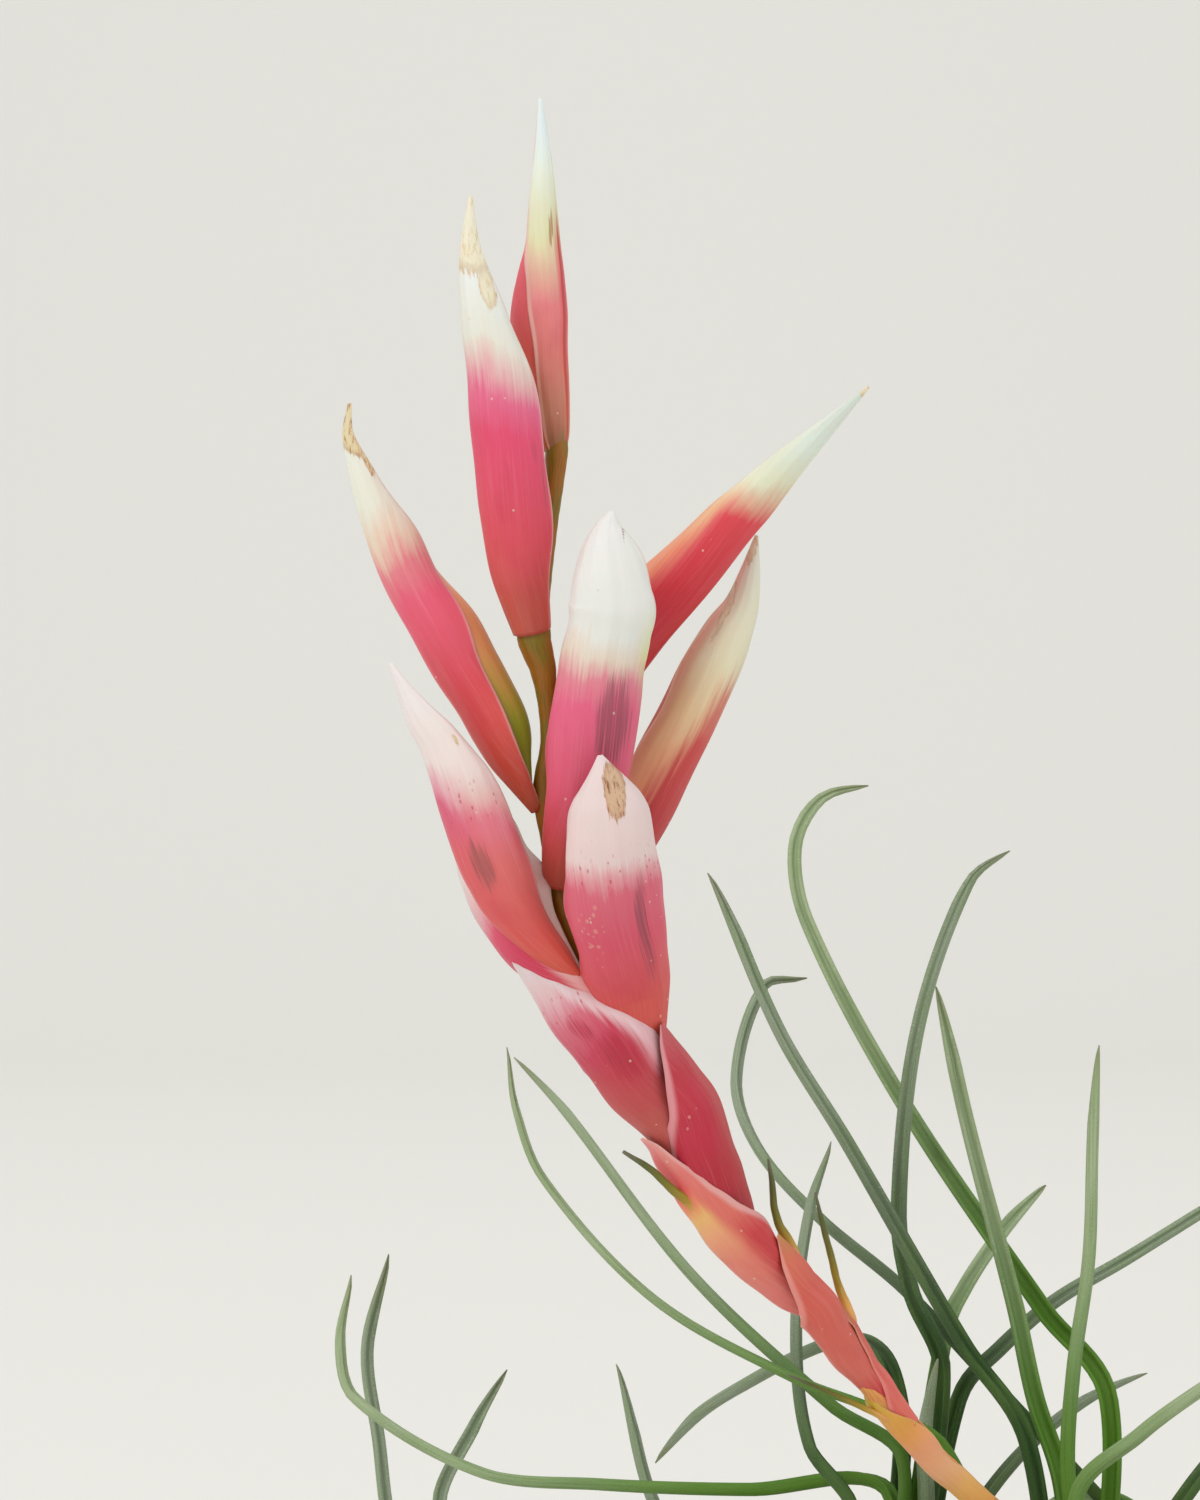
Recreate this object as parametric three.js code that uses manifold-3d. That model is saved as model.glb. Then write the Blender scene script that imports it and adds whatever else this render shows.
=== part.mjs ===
// Vriesea correia-araujoi, a small clumping bromeliad in bloom, with bare, trimmed roots.
// Millimetres, +Z up. The origin is on the resting surface, under the middle of the main rosette.
// The spike faces -Y. Its bracts are folded leaves, wide at the base and pointed at the tip.

import * as THREE from 'three';
import { mergeVertices } from 'three/addons/utils/BufferGeometryUtils.js';
import Module from 'manifold-3d';

const wasm = await Module();
wasm.setup();

// Driving dimensions.
const WALL = 0.6; // thickness of bracts and leaves
const THIN_EDGE = 0.12; // smallest inner radius of a folded section
const SEAT_GAP = 0.3; // clearance between neighbours that touch on the plant
const LEAF_GAP = 0.45; // clearance between one layer of leaf sheaths and the next
const SCAPE_RADIUS = 0.95; // the bare stem inside its sheaths
const RHIZOME_TOP = 2; // height of the woody plate that carries the rosettes
const CORE_RADIUS = 1.9; // woody heart of a rosette, inside its sheaths
const CORE_TOP = 7.7;
const PLATE_RADIUS = 6.2;
const CREEPER_WIDTH = 5; // the lengths of rhizome between the rosettes
const CREEPER_HEIGHT = 1.7;
const SHEATH_SPREAD = 40; // half the part of a circle that a leaf sheath covers, degrees
const SHEATH_ROOM = 6; // sheaths of one layer stand at least this far apart, degrees
const SHEATH_TOP = 13; // height of the innermost sheaths
const SHEATH_STEP = 1.2; // each layer outward is shorter by this
const SHEATH_MOUTH = 4; // length over which a sheath narrows to its blade
const BLADE_RADIUS = 1.02; // a leaf blade is a deep channel with this outer radius
const BLADE_SPREAD = 70; // half the part of a circle that the channel covers, degrees
const BLADE_TIP = 0.45; // radius at the tip
const LYING_HEIGHT = 0.35; // the underside of a blade that lies on the surface
const ROOT_RADIUS = 0.8;

// The middles of the three rosettes on the surface.
const ROSETTES = {
  main: [0, 0],
  left: [-15, 16],
  right: [13.5, 13],
};

// The stem from the heart of the main rosette to the last flower: x, y, z, radius.
const SCAPE = [
  [0, 0, 8, 1.2],
  [-0.5, -0.2, 13, 1.2],
  [-3.2, -1.6, 18.5, 1.15],
  [-6, -3.1, 22.2, 1.1],
  [-9.5, -5, 25.5, 1],
  [-16.5, -11, 32.5, SCAPE_RADIUS],
  [-21, -14, 37.5, SCAPE_RADIUS],
  [-25.2, -16, 43.1, SCAPE_RADIUS],
  [-30, -18, 49.5, SCAPE_RADIUS],
  [-33.7, -19.2, 55.5, SCAPE_RADIUS],
  [-37.5, -20, 61.5, SCAPE_RADIUS],
  [-39.9, -20, 66, 1],
  [-41.8, -20, 69.6, 1],
  [-43.5, -20, 73.2, 1],
  [-44.8, -20, 76.2, 1],
  [-45.5, -20, 78.8, 1],
  [-46.1, -20, 82.5, 1],
  [-46.6, -20, 86.7, 1.05],
  [-46.2, -20, 90.4, 0.95],
  [-46.5, -20, 94.2, 0.95],
  [-47.4, -20, 99.6, 1.1],
  [-46.7, -20, 105.4, 0.95],
  [-46.1, -20, 109.6, 0.95],
  [-45.7, -20, 113, 0.9],
  [-45.7, -20, 116.6, 0.7],
];

// Folded bracts. A row of `line` is a point of the middle line and the half width seen from -Y, as
// x, y, z, half.
// `keel` is the side that the keel faces, in degrees from -Y towards -X, at the base and at the tip.
// `spread` is half the part of a circle that the fold covers at the base, in the middle and at the tip.
// `bud` says where along the bract its flower starts and ends, and how far it leans to the open side.
const FLORAL_BRACTS = [
  {
    line: [[-45.6, -19.9, 114.6, 1.75], [-46.3, -19.7, 118.8, 2.05], [-46.9, -19.4, 122.5, 2.3],
      [-47.1, -19.2, 126.3, 2.4], [-46.9, -19.2, 129.7, 2], [-46.8, -19.2, 132.3, 1.5],
      [-46.8, -19.2, 135.9, 1.15], [-46.8, -19.2, 140.1, 0.7], [-47, -19.2, 144.5, 0.3]],
    keel: [150, 145],
    spread: [150, 118, 85],
    deep: 1,
    bud: { from: 0.13, to: 0.72, lean: 0.35 },
  },
  {
    line: [[-47.6, -20.1, 100.6, 1.9], [-48.1, -20.9, 103, 2.2], [-48.7, -22, 106.2, 2.66],
      [-49, -22.9, 109.9, 2.98], [-49.4, -23.5, 113.6, 3.02], [-49.9, -23.8, 117.7, 2.89],
      [-50.5, -24, 121.6, 2.56], [-51.5, -24, 125.5, 1.98], [-52.4, -24, 129.4, 1.3],
      [-52.7, -24, 135.7, 0.3]],
    keel: [60, 40],
    spread: [125, 112, 85],
    deep: 1,
    bud: { from: 0.2, to: 0.78, lean: 0.3 },
  },
  {
    line: [[-44.3, -19.6, 90.6, 1.1], [-43.6, -19.4, 92.9, 1.84], [-42, -19.2, 96, 2.5],
      [-39.7, -19, 99.9, 2.9], [-36.5, -18.8, 103, 2.76], [-31.9, -18.4, 107.6, 2.38],
      [-29.5, -18.2, 109.8, 2.1], [-27.8, -18.1, 111.9, 1.6], [-25, -18, 115.1, 1.13],
      [-22.1, -18, 117.8, 0.65], [-19.5, -18, 120.4, 0.3]],
    keel: [-75, -70],
    spread: [110, 104, 85],
    deep: 1,
    bud: { from: 0.14, to: 0.72, lean: 0.5 },
  },
  {
    line: [[-48.3, -20.3, 87.6, 1], [-49.2, -20.2, 89.8, 1.75], [-50.8, -20, 92.5, 2.3],
      [-53, -19.8, 96.1, 2.54], [-55.6, -19.6, 100.3, 2.54], [-57.7, -19.5, 103.8, 2.42],
      [-59, -19.5, 106.9, 2.2], [-60.7, -19.5, 110.4, 1.6], [-61.9, -19.5, 113.2, 1.1],
      [-62.8, -19.5, 116.3, 0.6], [-62.9, -19.5, 118.9, 0.3]],
    keel: [70, 65],
    spread: [110, 104, 85],
    deep: 1,
    bud: { from: 0.14, to: 0.76, lean: 0.5 },
  },
  {
    line: [[-43.65, -18.9, 76.2, 1.1], [-42, -17.8, 79.3, 1.75], [-39.4, -17, 83.3, 2.3],
      [-36.9, -16.4, 88.3, 2.6], [-34.3, -15.8, 93.5, 2.52], [-32.7, -15.4, 96.9, 2.4],
      [-31.3, -15.2, 99.8, 2.1], [-30.1, -15.1, 102.1, 1.55], [-29.4, -15, 104.8, 0.95],
      [-28.8, -15, 108.1, 0.3]],
    keel: [-140, -140],
    spread: [112, 108, 85],
    deep: 1,
    bud: { from: 0.14, to: 0.8, lean: 0.4 },
  },
  {
    line: [[-45.2, -20.6, 79.2, 1.8], [-44.5, -22, 82.1, 2.3], [-43.4, -24, 86.3, 3.14],
      [-42.7, -25.2, 90.8, 3.6], [-42.1, -25.9, 94.5, 3.66], [-41.7, -26.3, 97.6, 3.66],
      [-41.1, -26.7, 100.8, 3.75], [-41, -26.9, 103, 3.4], [-41.3, -27.1, 105.9, 2.5],
      [-41.3, -27.2, 108.1, 1.35], [-41, -27.3, 109.5, 0.4]],
    keel: [-30, 10],
    spread: [120, 108, 85],
    deep: 0.8,
    bud: { from: 0.18, to: 0.78, lean: 0.3 },
  },
  {
    line: [[-44.6, -22.4, 71.8, 0.8], [-45.6, -22.6, 73.2, 1.35], [-47.6, -23, 75.6, 2.1],
      [-49.4, -23.4, 77.8, 2.6], [-50.4, -23.7, 79.9, 2.8], [-51.6, -23.9, 82.9, 2.85],
      [-52.7, -24, 85.6, 2.65], [-53.7, -24.1, 87.9, 2.35], [-55.2, -24.1, 90.7, 1.8],
      [-56.8, -24.1, 92.7, 1.28], [-58, -24.1, 94.7, 0.8], [-59.3, -24.1, 97.2, 0.3]],
    keel: [45, 40],
    spread: [110, 108, 85],
    deep: 0.9,
    bud: { from: 0.16, to: 0.76, lean: 0.3 },
  },
  {
    line: [[-39.8, -20, 66, 1.85], [-39.9, -20.3, 67.9, 2.05], [-39.6, -20.9, 70.9, 2.9],
      [-40.4, -24.3, 75.2, 3.9], [-40.9, -26.8, 78.9, 3.95], [-41.3, -28.5, 82.2, 3.75],
      [-41.5, -29.4, 85.1, 3.2], [-41.8, -30, 87.1, 2.2], [-42, -30.3, 88.5, 1.15],
      [-42.1, -30.5, 89.6, 0.4]],
    keel: [-45, 5],
    spread: [118, 106, 85],
    deep: 0.75,
    bud: { from: 0.2, to: 0.74, lean: 0.2 },
  },
  {
    line: [[-43, -18.2, 70, 1.4], [-44.6, -17.4, 71.8, 2.2], [-46.6, -16.6, 74, 3.1],
      [-48.7, -16.2, 77, 3.6], [-50.4, -16.1, 80.3, 3.4], [-51.9, -16.1, 83.3, 2.5],
      [-53.3, -16.1, 85.8, 1.4], [-54.3, -16.1, 87.8, 0.4]],
    keel: [120, 110],
    spread: [110, 106, 85],
    deep: 0.75,
    bud: { from: 0.16, to: 0.76, lean: 0.2 },
  },
];

// Two empty bracts that wrap the stem under the flowers, the upper one first. `node` is the height at which
// the bract is fastened. A row of `wrap` is the distance up the stem from there, the shift of the middle
// towards the keel, and the half width.
const WRAP_BRACTS = [
  {
    node: 57.6,
    wrap: [[0, 0, 1.75], [3.5, 0.3, 2.5], [7.2, 0.4, 3.1], [10.9, 0.75, 3.85], [14.4, 2.2, 3],
      [17, 4.1, 1.5], [18.6, 5.4, 0.5]],
    keel: [75, 60],
    spread: [135, 108, 80],
    deep: 1.12,
  },
  {
    node: 51.2,
    wrap: [[0, 0, 1.75], [3, 0, 2], [6, 0.4, 2.6], [9, 0.5, 3.2], [12, 0.8, 3.1], [14.7, 1.9, 1.9],
      [17.1, 3, 0.5]],
    keel: [-85, -80],
    spread: [135, 98, 50],
    deep: 1,
  },
];

// Bracts of the scape, from the top one down. `thread` is the green tip that leaves the back of the sheath.
const SCAPE_BRACTS = [
  {
    node: 43.7,
    wrap: [[0, 0, 1.75], [4, 0, 2], [8, 0.1, 2.6], [12, 0.2, 3.1], [15, 0.6, 3], [17.5, 1.7, 1.9],
      [19.3, 2.8, 0.6]],
    keel: [75, 60],
    spread: [140, 105, 55],
    deep: 1,
    thread: [[-36.6, -21.2, 55.4], [-38.6, -22, 56.4], [-40, -22.5, 57.6]],
  },
  {
    node: 37.8,
    wrap: [[0, 0, 1.75], [3.5, 0, 2], [6.5, 0.1, 2.7], [9.5, 0.6, 2.5], [12, 1.7, 1.4], [13.6, 2.4, 0.5]],
    keel: [-115, -110],
    spread: [135, 105, 55],
    deep: 1,
    thread: [[-25.6, -15, 47.4], [-26.8, -15.2, 51], [-27.9, -15.6, 55.2]],
  },
  {
    node: 32.7,
    wrap: [[0, 0, 1.75], [3.5, 0, 2], [6.5, 0.1, 2.75], [9.5, 0.6, 2.75], [12, 1.9, 1.5], [13.6, 2.6, 0.5]],
    keel: [-70, -70],
    spread: [135, 100, 50],
    deep: 1,
    thread: [[-20.6, -13.4, 42.6], [-21.8, -13.4, 47], [-23.6, -13.6, 52]],
  },
  {
    node: 27.4,
    wrap: [[0, 0, 1.75], [3.5, 0, 2], [7, 0.1, 2.7], [9.5, 0.6, 2.5], [12, 1.7, 1.4], [13.6, 2.4, 0.5]],
    keel: [110, 110],
    spread: [135, 105, 55],
    deep: 1,
    thread: [[-20, -14, 33.6], [-23.4, -15.6, 36], [-27, -17, 37.4]],
  },
];

// Leaves that are traced: the rosette, the side that the sheath faces in degrees from +X, and the blade.
const TRACED_LEAVES = [
  ['main', 141, [[-5, 4, 29], [-10, 10, 36.5], [-20, 20, 54], [-26, 25, 64], [-32, 30, 78.5]]],
  ['main', 66, [[3.5, 8, 32], [-1.5, 16, 39], [-13.5, 32, 57], [-22, 42, 73.5], [-23, 45, 80.5],
    [-20.5, 47, 85], [-16, 48, 86.5]]],
  ['left', 40, [[-10.5, 16, 34], [-13, 20, 40.5], [-14, 23, 47.5], [-12, 28, 64], [-7, 32, 77.5],
    [-3.5, 33, 80.5]]],
  ['main', 104, [[-1.5, 4, 25], [-3.5, 8, 32], [-5, 12, 40], [-9, 17, 56.5], [-11.5, 18, 68.5]]],
  ['main', 300, [[-1, -3, 26.5], [-0.5, -2, 36], [1, 0, 45.5], [1.5, 2, 55], [2, 4, 64]]],
  ['left', 60, [[-9, 20, 30.5], [-5, 24, 34.5], [0.5, 28, 38.5], [7.5, 32, 42], [20.5, 36, 49.5]]],
  ['left', 85, [[-10.5, 24, 35], [-8, 32, 39], [-3.5, 40, 44], [1, 46, 48]]],
  ['right', 174, [[-8.5, 18, 34], [-14.5, 25, 40], [-21.5, 32, 45.5], [-27.5, 38, 52], [-29.5, 42, 58.5],
    [-26.5, 46, 67.5], [-22, 47, 68]]],
  ['left', 170, [[-19.5, 14, 20.5], [-23.5, 19, 26.5], [-24.5, 24, 36.5], [-23, 28, 47.5],
    [-20.5, 30, 53.5]]],
  ['main', 168, [[-12, 2, 28.5], [-18, 4, 31.5], [-25, 6, 34], [-37.5, 12, 40.5], [-47.5, 17, 51],
    [-50, 18, 57.5], [-50.5, 18, 63]]],
  ['left', 238, [[-15.5, 8, 27], [-21.5, 12, 31], [-34, 20, 42], [-45.5, 26, 56.5], [-50, 27, 61.5]]],
  ['right', 140, [[2, 22, 12], [-8, 30, 13], [-32.5, 37, 6.5], [-49.5, 48, 6], [-61.5, 54, 10.5],
    [-64.5, 58, 23], [-65.5, 60, 31], [-63, 60, 40]]],
  ['left', 148, [[-16.5, 18, 22.5], [-28, 26, 21], [-42, 33, 20.5], [-53.5, 38, 21], [-66, 44, 27.5],
    [-67.5, 45, 33], [-66, 45, 39.5]]],
  ['left', 118, [[-20, 24, 14], [-32.5, 33, 10.5], [-49.5, 41, 9.5], [-57.5, 46, 16.5], [-54, 48, 25],
    [-51, 48, 30]]],
  ['left', 162, [[-26.5, 20, 10.5], [-30.5, 25.5, 12], [-34.5, 31, 14.5], [-38, 38, 20],
    [-40.5, 40, 31.5]]],
  ['left', 104, [[-16, 26, 34.5], [-21, 40, 32], [-27.5, 48, 28], [-32, 54, 24.5], [-36.5, 58, 19.5]]],
  ['main', 280, [[-1, -8, 25.5], [4, -12, 31.5], [8.5, -15, 35.5], [15.5, -20, 41]]],
  ['left', 296, [[-12.5, 9.5, 22], [-12.8, 8, 29], [-12, 7, 36]]],
];

// Leaves placed by a rule, in a curve that starts at one slope and ends at another: the rosette, the side
// that the leaf faces in degrees from +X, the first and the last slope in degrees, and the blade's length.
const RULED_LEAVES = [
  ['main', 205, 22, -62, 46],
  ['main', 258, 38, -70, 52],
  ['main', 320, 44, -74, 56],
  ['main', 352, 58, -12, 50],
  ['main', 28, 66, 8, 46],
  ['left', 12, 74, 20, 30],
  ['left', 200, 20, -62, 42],
  ['right', 20, 46, -78, 58],
  ['right', 68, 60, -34, 58],
  ['right', 110, 42, -76, 58],
  ['right', 300, 42, -74, 52],
  ['right', 336, 64, -20, 60],
  ['right', 285, 76, 40, 24],
];

const COLOURS = {
  bract: 0xd64a5c,
  bud: 0xcf8a56,
  scape: 0x86551c,
  sheath: 0xd4705f,
  leaf: 0x5d7a45,
  rhizome: 0x6b5138,
};

const radians = THREE.MathUtils.degToRad;
const smooth = (value) => THREE.MathUtils.smoothstep(value, 0, 1);

// A smooth curve through rows of numbers whose first three are a point. The result gives the row at a
// fraction of the curve's length, and `length` is that length.
function track(rows) {
  const along = [0];
  for (let i = 1; i < rows.length; i += 1) {
    const step = Math.hypot(...[0, 1, 2].map((k) => rows[i][k] - rows[i - 1][k]));
    along.push(along[i - 1] + step);
  }
  const slope = (i, k) => {
    const before = Math.max(i - 1, 0);
    const after = Math.min(i + 1, rows.length - 1);
    return (rows[after][k] - rows[before][k]) / (along[after] - along[before]);
  };
  const length = along[along.length - 1];
  const at = (fraction) => {
    const distance = fraction * length;
    let i = 0;
    while (i < rows.length - 2 && distance > along[i + 1]) i += 1;
    const span = along[i + 1] - along[i];
    const u = (distance - along[i]) / span;
    const start = 1 - u * u * (3 - 2 * u);
    const leave = u * (1 - u) * (1 - u) * span;
    const arrive = u * u * (u - 1) * span;
    return rows[i].map((value, k) => (
      value * start + rows[i + 1][k] * (1 - start) + slope(i, k) * leave + slope(i + 1, k) * arrive
    ));
  };
  return { at, length };
}

// The point and the direction of a track at a fraction of its length.
function pointAndDirection(curve, fraction) {
  const small = 0.004;
  const point = new THREE.Vector3(...curve.at(fraction));
  const ahead = new THREE.Vector3(...curve.at(Math.min(fraction + small, 1)));
  const behind = new THREE.Vector3(...curve.at(Math.max(fraction - small, 0)));
  return { point, direction: ahead.sub(behind).normalize() };
}

// A closed body from rings of the same number of points, with the first and last ring as flat ends.
// `capTriangles` lists the triangles of an end by the places of their corners in a ring.
function bodyFromRings(rings, capTriangles) {
  const count = rings[0].length;
  const positions = rings.flat().flatMap((p) => [p.x, p.y, p.z]);
  const triangles = [];
  for (let r = 0; r + 1 < rings.length; r += 1) {
    for (let i = 0; i < count; i += 1) {
      const a = r * count + i;
      const b = r * count + ((i + 1) % count);
      triangles.push(a, b, b + count, a, b + count, a + count);
    }
  }
  const last = (rings.length - 1) * count;
  for (const [a, b, c] of capTriangles) {
    triangles.push(a, c, b, last + a, last + b, last + c);
  }
  const geometry = new THREE.BufferGeometry();
  geometry.setAttribute('position', new THREE.Float32BufferAttribute(positions, 3));
  geometry.setIndex(triangles);
  if (volumeOf(geometry) < 0) {
    for (let i = 0; i < triangles.length; i += 3) {
      [triangles[i + 1], triangles[i + 2]] = [triangles[i + 2], triangles[i + 1]];
    }
    geometry.setIndex(triangles);
  }
  return geometry;
}

function volumeOf(geometry) {
  const position = geometry.getAttribute('position');
  const index = geometry.getIndex();
  const [a, b, c] = [new THREE.Vector3(), new THREE.Vector3(), new THREE.Vector3()];
  let volume = 0;
  for (let i = 0; i < index.count; i += 3) {
    a.fromBufferAttribute(position, index.getX(i));
    b.fromBufferAttribute(position, index.getX(i + 1));
    c.fromBufferAttribute(position, index.getX(i + 2));
    volume += a.dot(b.cross(c)) / 6;
  }
  return volume;
}

// The end of a folded section: strips between the outer row and the inner row.
function foldCap(steps) {
  const triangles = [];
  for (let i = 0; i < steps; i += 1) {
    const inner = 2 * steps + 1 - i;
    triangles.push([i, i + 1, inner - 1], [i, inner - 1, inner]);
  }
  return triangles;
}

// The end of a round section: a fan.
function roundCap(sides) {
  return Array.from({ length: sides - 2 }, (unused, i) => [0, i + 1, i + 2]);
}

// The cross directions of a bract: towards the keel and towards its side, both square to the middle line.
function keelAndSide(direction, keelDegrees) {
  const front = new THREE.Vector3(0, -1, 0);
  front.addScaledVector(direction, -front.dot(direction)).normalize();
  const left = new THREE.Vector3().crossVectors(front, direction);
  const turn = radians(keelDegrees);
  const keel = front.clone().multiplyScalar(Math.cos(turn)).addScaledVector(left, Math.sin(turn));
  const side = front.clone().multiplyScalar(-Math.sin(turn)).addScaledVector(left, Math.cos(turn));
  return { keel, side };
}

// Everything about the cross-section of a bract at a fraction of its length.
function bractSection(bract, curve, fraction) {
  const { point, direction } = pointAndDirection(curve, fraction);
  const half = curve.at(fraction)[3];
  const turn = THREE.MathUtils.lerp(bract.keel[0], bract.keel[1], smooth(fraction));
  const { keel, side } = keelAndSide(direction, turn);
  const seenFromFront = Math.hypot(Math.cos(radians(turn)), bract.deep * Math.sin(radians(turn)));
  const sideRadius = half / seenFromFront;
  const [base, middle, tip] = bract.spread;
  const middleAt = 0.3;
  const spread = fraction < middleAt
    ? THREE.MathUtils.lerp(base, middle, smooth(fraction / middleAt))
    : THREE.MathUtils.lerp(middle, tip, smooth((fraction - middleAt) / (1 - middleAt)));
  return { point, keel, side, sideRadius, keelRadius: sideRadius * bract.deep, spread: radians(spread) };
}

// One ring of a folded bract: the outer arc from edge to edge, then the inner arc back.
function bractRing(section, steps) {
  const ring = [];
  const place = (angle, inset) => {
    const acrossSide = Math.max(section.sideRadius - inset, THIN_EDGE);
    const acrossKeel = Math.max(section.keelRadius - inset, THIN_EDGE);
    return section.point.clone()
      .addScaledVector(section.keel, Math.cos(angle) * acrossKeel)
      .addScaledVector(section.side, Math.sin(angle) * acrossSide);
  };
  for (let i = 0; i <= steps; i += 1) ring.push(place(section.spread * (2 * i / steps - 1), 0));
  for (let i = steps; i >= 0; i -= 1) ring.push(place(section.spread * (2 * i / steps - 1), WALL));
  return ring;
}

// The middle line of a bract that wraps the stem, worked out from its rows of `wrap`.
function wrapLine(bract) {
  const stem = track(SCAPE);
  let start = 0;
  while (stem.at(start)[2] < bract.node) start += 0.001;
  const last = bract.wrap.length - 1;
  return bract.wrap.map(([distance, shift, half], i) => {
    const { point, direction } = pointAndDirection(stem, start + distance / stem.length);
    const turn = THREE.MathUtils.lerp(bract.keel[0], bract.keel[1], i / last);
    point.addScaledVector(keelAndSide(direction, turn).keel, shift);
    return [...point.toArray(), half];
  });
}

function bractGeometry(bract) {
  const foldSteps = 6;
  const ringCount = 11;
  const curve = track(bract.line);
  const rings = Array.from({ length: ringCount }, (unused, i) => (
    bractRing(bractSection(bract, curve, i / (ringCount - 1)), foldSteps)
  ));
  return bodyFromRings(rings, foldCap(foldSteps));
}

// The flower that a bract holds, still closed: a spindle inside the fold.
function budGeometry(bract) {
  const sides = 8;
  const ringCount = 8;
  const endRadius = 0.22;
  const curve = track(bract.line);
  const rings = [];
  for (let i = 0; i < ringCount; i += 1) {
    const u = i / (ringCount - 1);
    const section = bractSection(bract, curve, THREE.MathUtils.lerp(bract.bud.from, bract.bud.to, u));
    const room = Math.min(section.sideRadius, section.keelRadius) - WALL - SEAT_GAP;
    const belly = Math.sin(Math.PI * THREE.MathUtils.lerp(0.12, 1, u)) ** 0.5;
    const radius = Math.max((room - 0.25 * bract.bud.lean) * belly, endRadius);
    const middle = section.point.clone().addScaledVector(section.keel, -bract.bud.lean * belly);
    rings.push(roundRing(middle, section.keel, section.side, radius, sides));
  }
  return bodyFromRings(rings, roundCap(sides));
}

function roundRing(middle, first, second, radius, sides) {
  return Array.from({ length: sides }, (unused, i) => {
    const angle = 2 * Math.PI * i / sides;
    return middle.clone()
      .addScaledVector(first, Math.cos(angle) * radius)
      .addScaledVector(second, Math.sin(angle) * radius);
  });
}

// A round stem along rows of x, y, z and radius.
function stemGeometry(rows, sides, ringCount) {
  const curve = track(rows);
  const across = new THREE.Vector3(0.31, 1, 0.17);
  const rings = [];
  for (let i = 0; i < ringCount; i += 1) {
    const fraction = i / (ringCount - 1);
    const { point, direction } = pointAndDirection(curve, fraction);
    across.addScaledVector(direction, -across.dot(direction)).normalize();
    const second = new THREE.Vector3().crossVectors(direction, across);
    rings.push(roundRing(point, across, second, curve.at(fraction)[3], sides));
  }
  return bodyFromRings(rings, roundCap(sides));
}

// Union of closed geometries, as one closed geometry.
function joined(geometries) {
  const solids = geometries.map((geometry) => {
    geometry.deleteAttribute('normal');
    geometry.deleteAttribute('uv');
    const merged = mergeVertices(geometry, 1e-4);
    return new wasm.Manifold(new wasm.Mesh({
      numProp: 3,
      vertProperties: new Float32Array(merged.getAttribute('position').array),
      triVerts: new Uint32Array(merged.getIndex().array),
    }));
  });
  const { vertProperties, triVerts } = solids.reduce((sum, solid) => sum.add(solid)).getMesh();
  const geometry = new THREE.BufferGeometry();
  geometry.setAttribute('position', new THREE.BufferAttribute(vertProperties, 3));
  geometry.setIndex(new THREE.BufferAttribute(triVerts, 1));
  return geometry;
}

// A scape bract: its sheath with the green thread grown out of its back.
function scapeBractGeometry(bract) {
  const threadRadius = [0.5, 0.4, 0.3];
  const rows = bract.thread.map((point, i) => [...point, threadRadius[i]]);
  const sheath = track(bract.line);
  const rooted = bractSection(bract, sheath, 0.62);
  const root = rooted.point.clone().addScaledVector(rooted.keel, rooted.keelRadius - WALL / 2);
  return joined([bractGeometry(bract), stemGeometry([[root.x, root.y, root.z, 0.5], ...rows], 6, 8)]);
}

// A leaf: a sheath that wraps the heart of its rosette, then a narrow channelled blade.
function leafGeometry(middle, degrees, layerRadius, layerTop, blade) {
  const foldSteps = 3;
  const bladeRings = Math.round(5 + blade.length * 1.2);
  const out = new THREE.Vector3(Math.cos(radians(degrees)), Math.sin(radians(degrees)), 0);
  const foot = new THREE.Vector3(...middle, RHIZOME_TOP + SEAT_GAP).addScaledVector(out, layerRadius);
  const shoulder = foot.clone().setZ(layerTop);
  const straight = [0.5, 0.8].map((part) => foot.clone().lerp(shoulder, part).toArray());
  const curve = track([foot.toArray(), ...straight, shoulder.toArray(), ...blade]);
  const sheathPart = (layerTop - foot.z) / curve.length;
  const opened = sheathPart + SHEATH_MOUTH / curve.length;
  const stations = [0, sheathPart * 0.5, sheathPart];
  for (let i = 1; i <= bladeRings; i += 1) {
    stations.push(THREE.MathUtils.lerp(opened, 1, (i - 1) / (bladeRings - 1)));
  }
  const keel = out.clone();
  const rings = stations.map((fraction) => {
    const { point, direction } = pointAndDirection(curve, fraction);
    keel.addScaledVector(direction, -keel.dot(direction)).normalize();
    const side = new THREE.Vector3().crossVectors(direction, keel);
    const change = smooth((fraction - sheathPart * 0.6) / (opened - sheathPart * 0.6));
    const taper = smooth((fraction - 0.55) / 0.45);
    const bladeRadius = THREE.MathUtils.lerp(BLADE_RADIUS, BLADE_TIP, taper);
    const radius = THREE.MathUtils.lerp(layerRadius, bladeRadius, change);
    const spread = radians(THREE.MathUtils.lerp(SHEATH_SPREAD, BLADE_SPREAD, change));
    const section = {
      point: point.clone().addScaledVector(keel, -radius),
      keel: keel.clone(),
      side,
      sideRadius: radius,
      keelRadius: radius,
      spread,
    };
    return bractRing(section, foldSteps);
  });
  return bodyFromRings(rings, foldCap(foldSteps));
}

// The blade of a leaf that rises and then droops, as points along an arc of changing slope.
function arcBlade(middle, degrees, startRadius, startHeight, rise, fall, length) {
  const pieces = 5;
  const points = [];
  let [reach, height] = [startRadius, startHeight];
  for (let i = 0; i < pieces; i += 1) {
    const slope = radians(THREE.MathUtils.lerp(rise, fall, (i + 0.5) / pieces));
    reach += Math.cos(slope) * length / pieces;
    height += Math.sin(slope) * length / pieces;
    points.push([
      middle[0] + reach * Math.cos(radians(degrees)),
      middle[1] + reach * Math.sin(radians(degrees)),
      Math.max(height, LYING_HEIGHT),
    ]);
  }
  return points;
}

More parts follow.
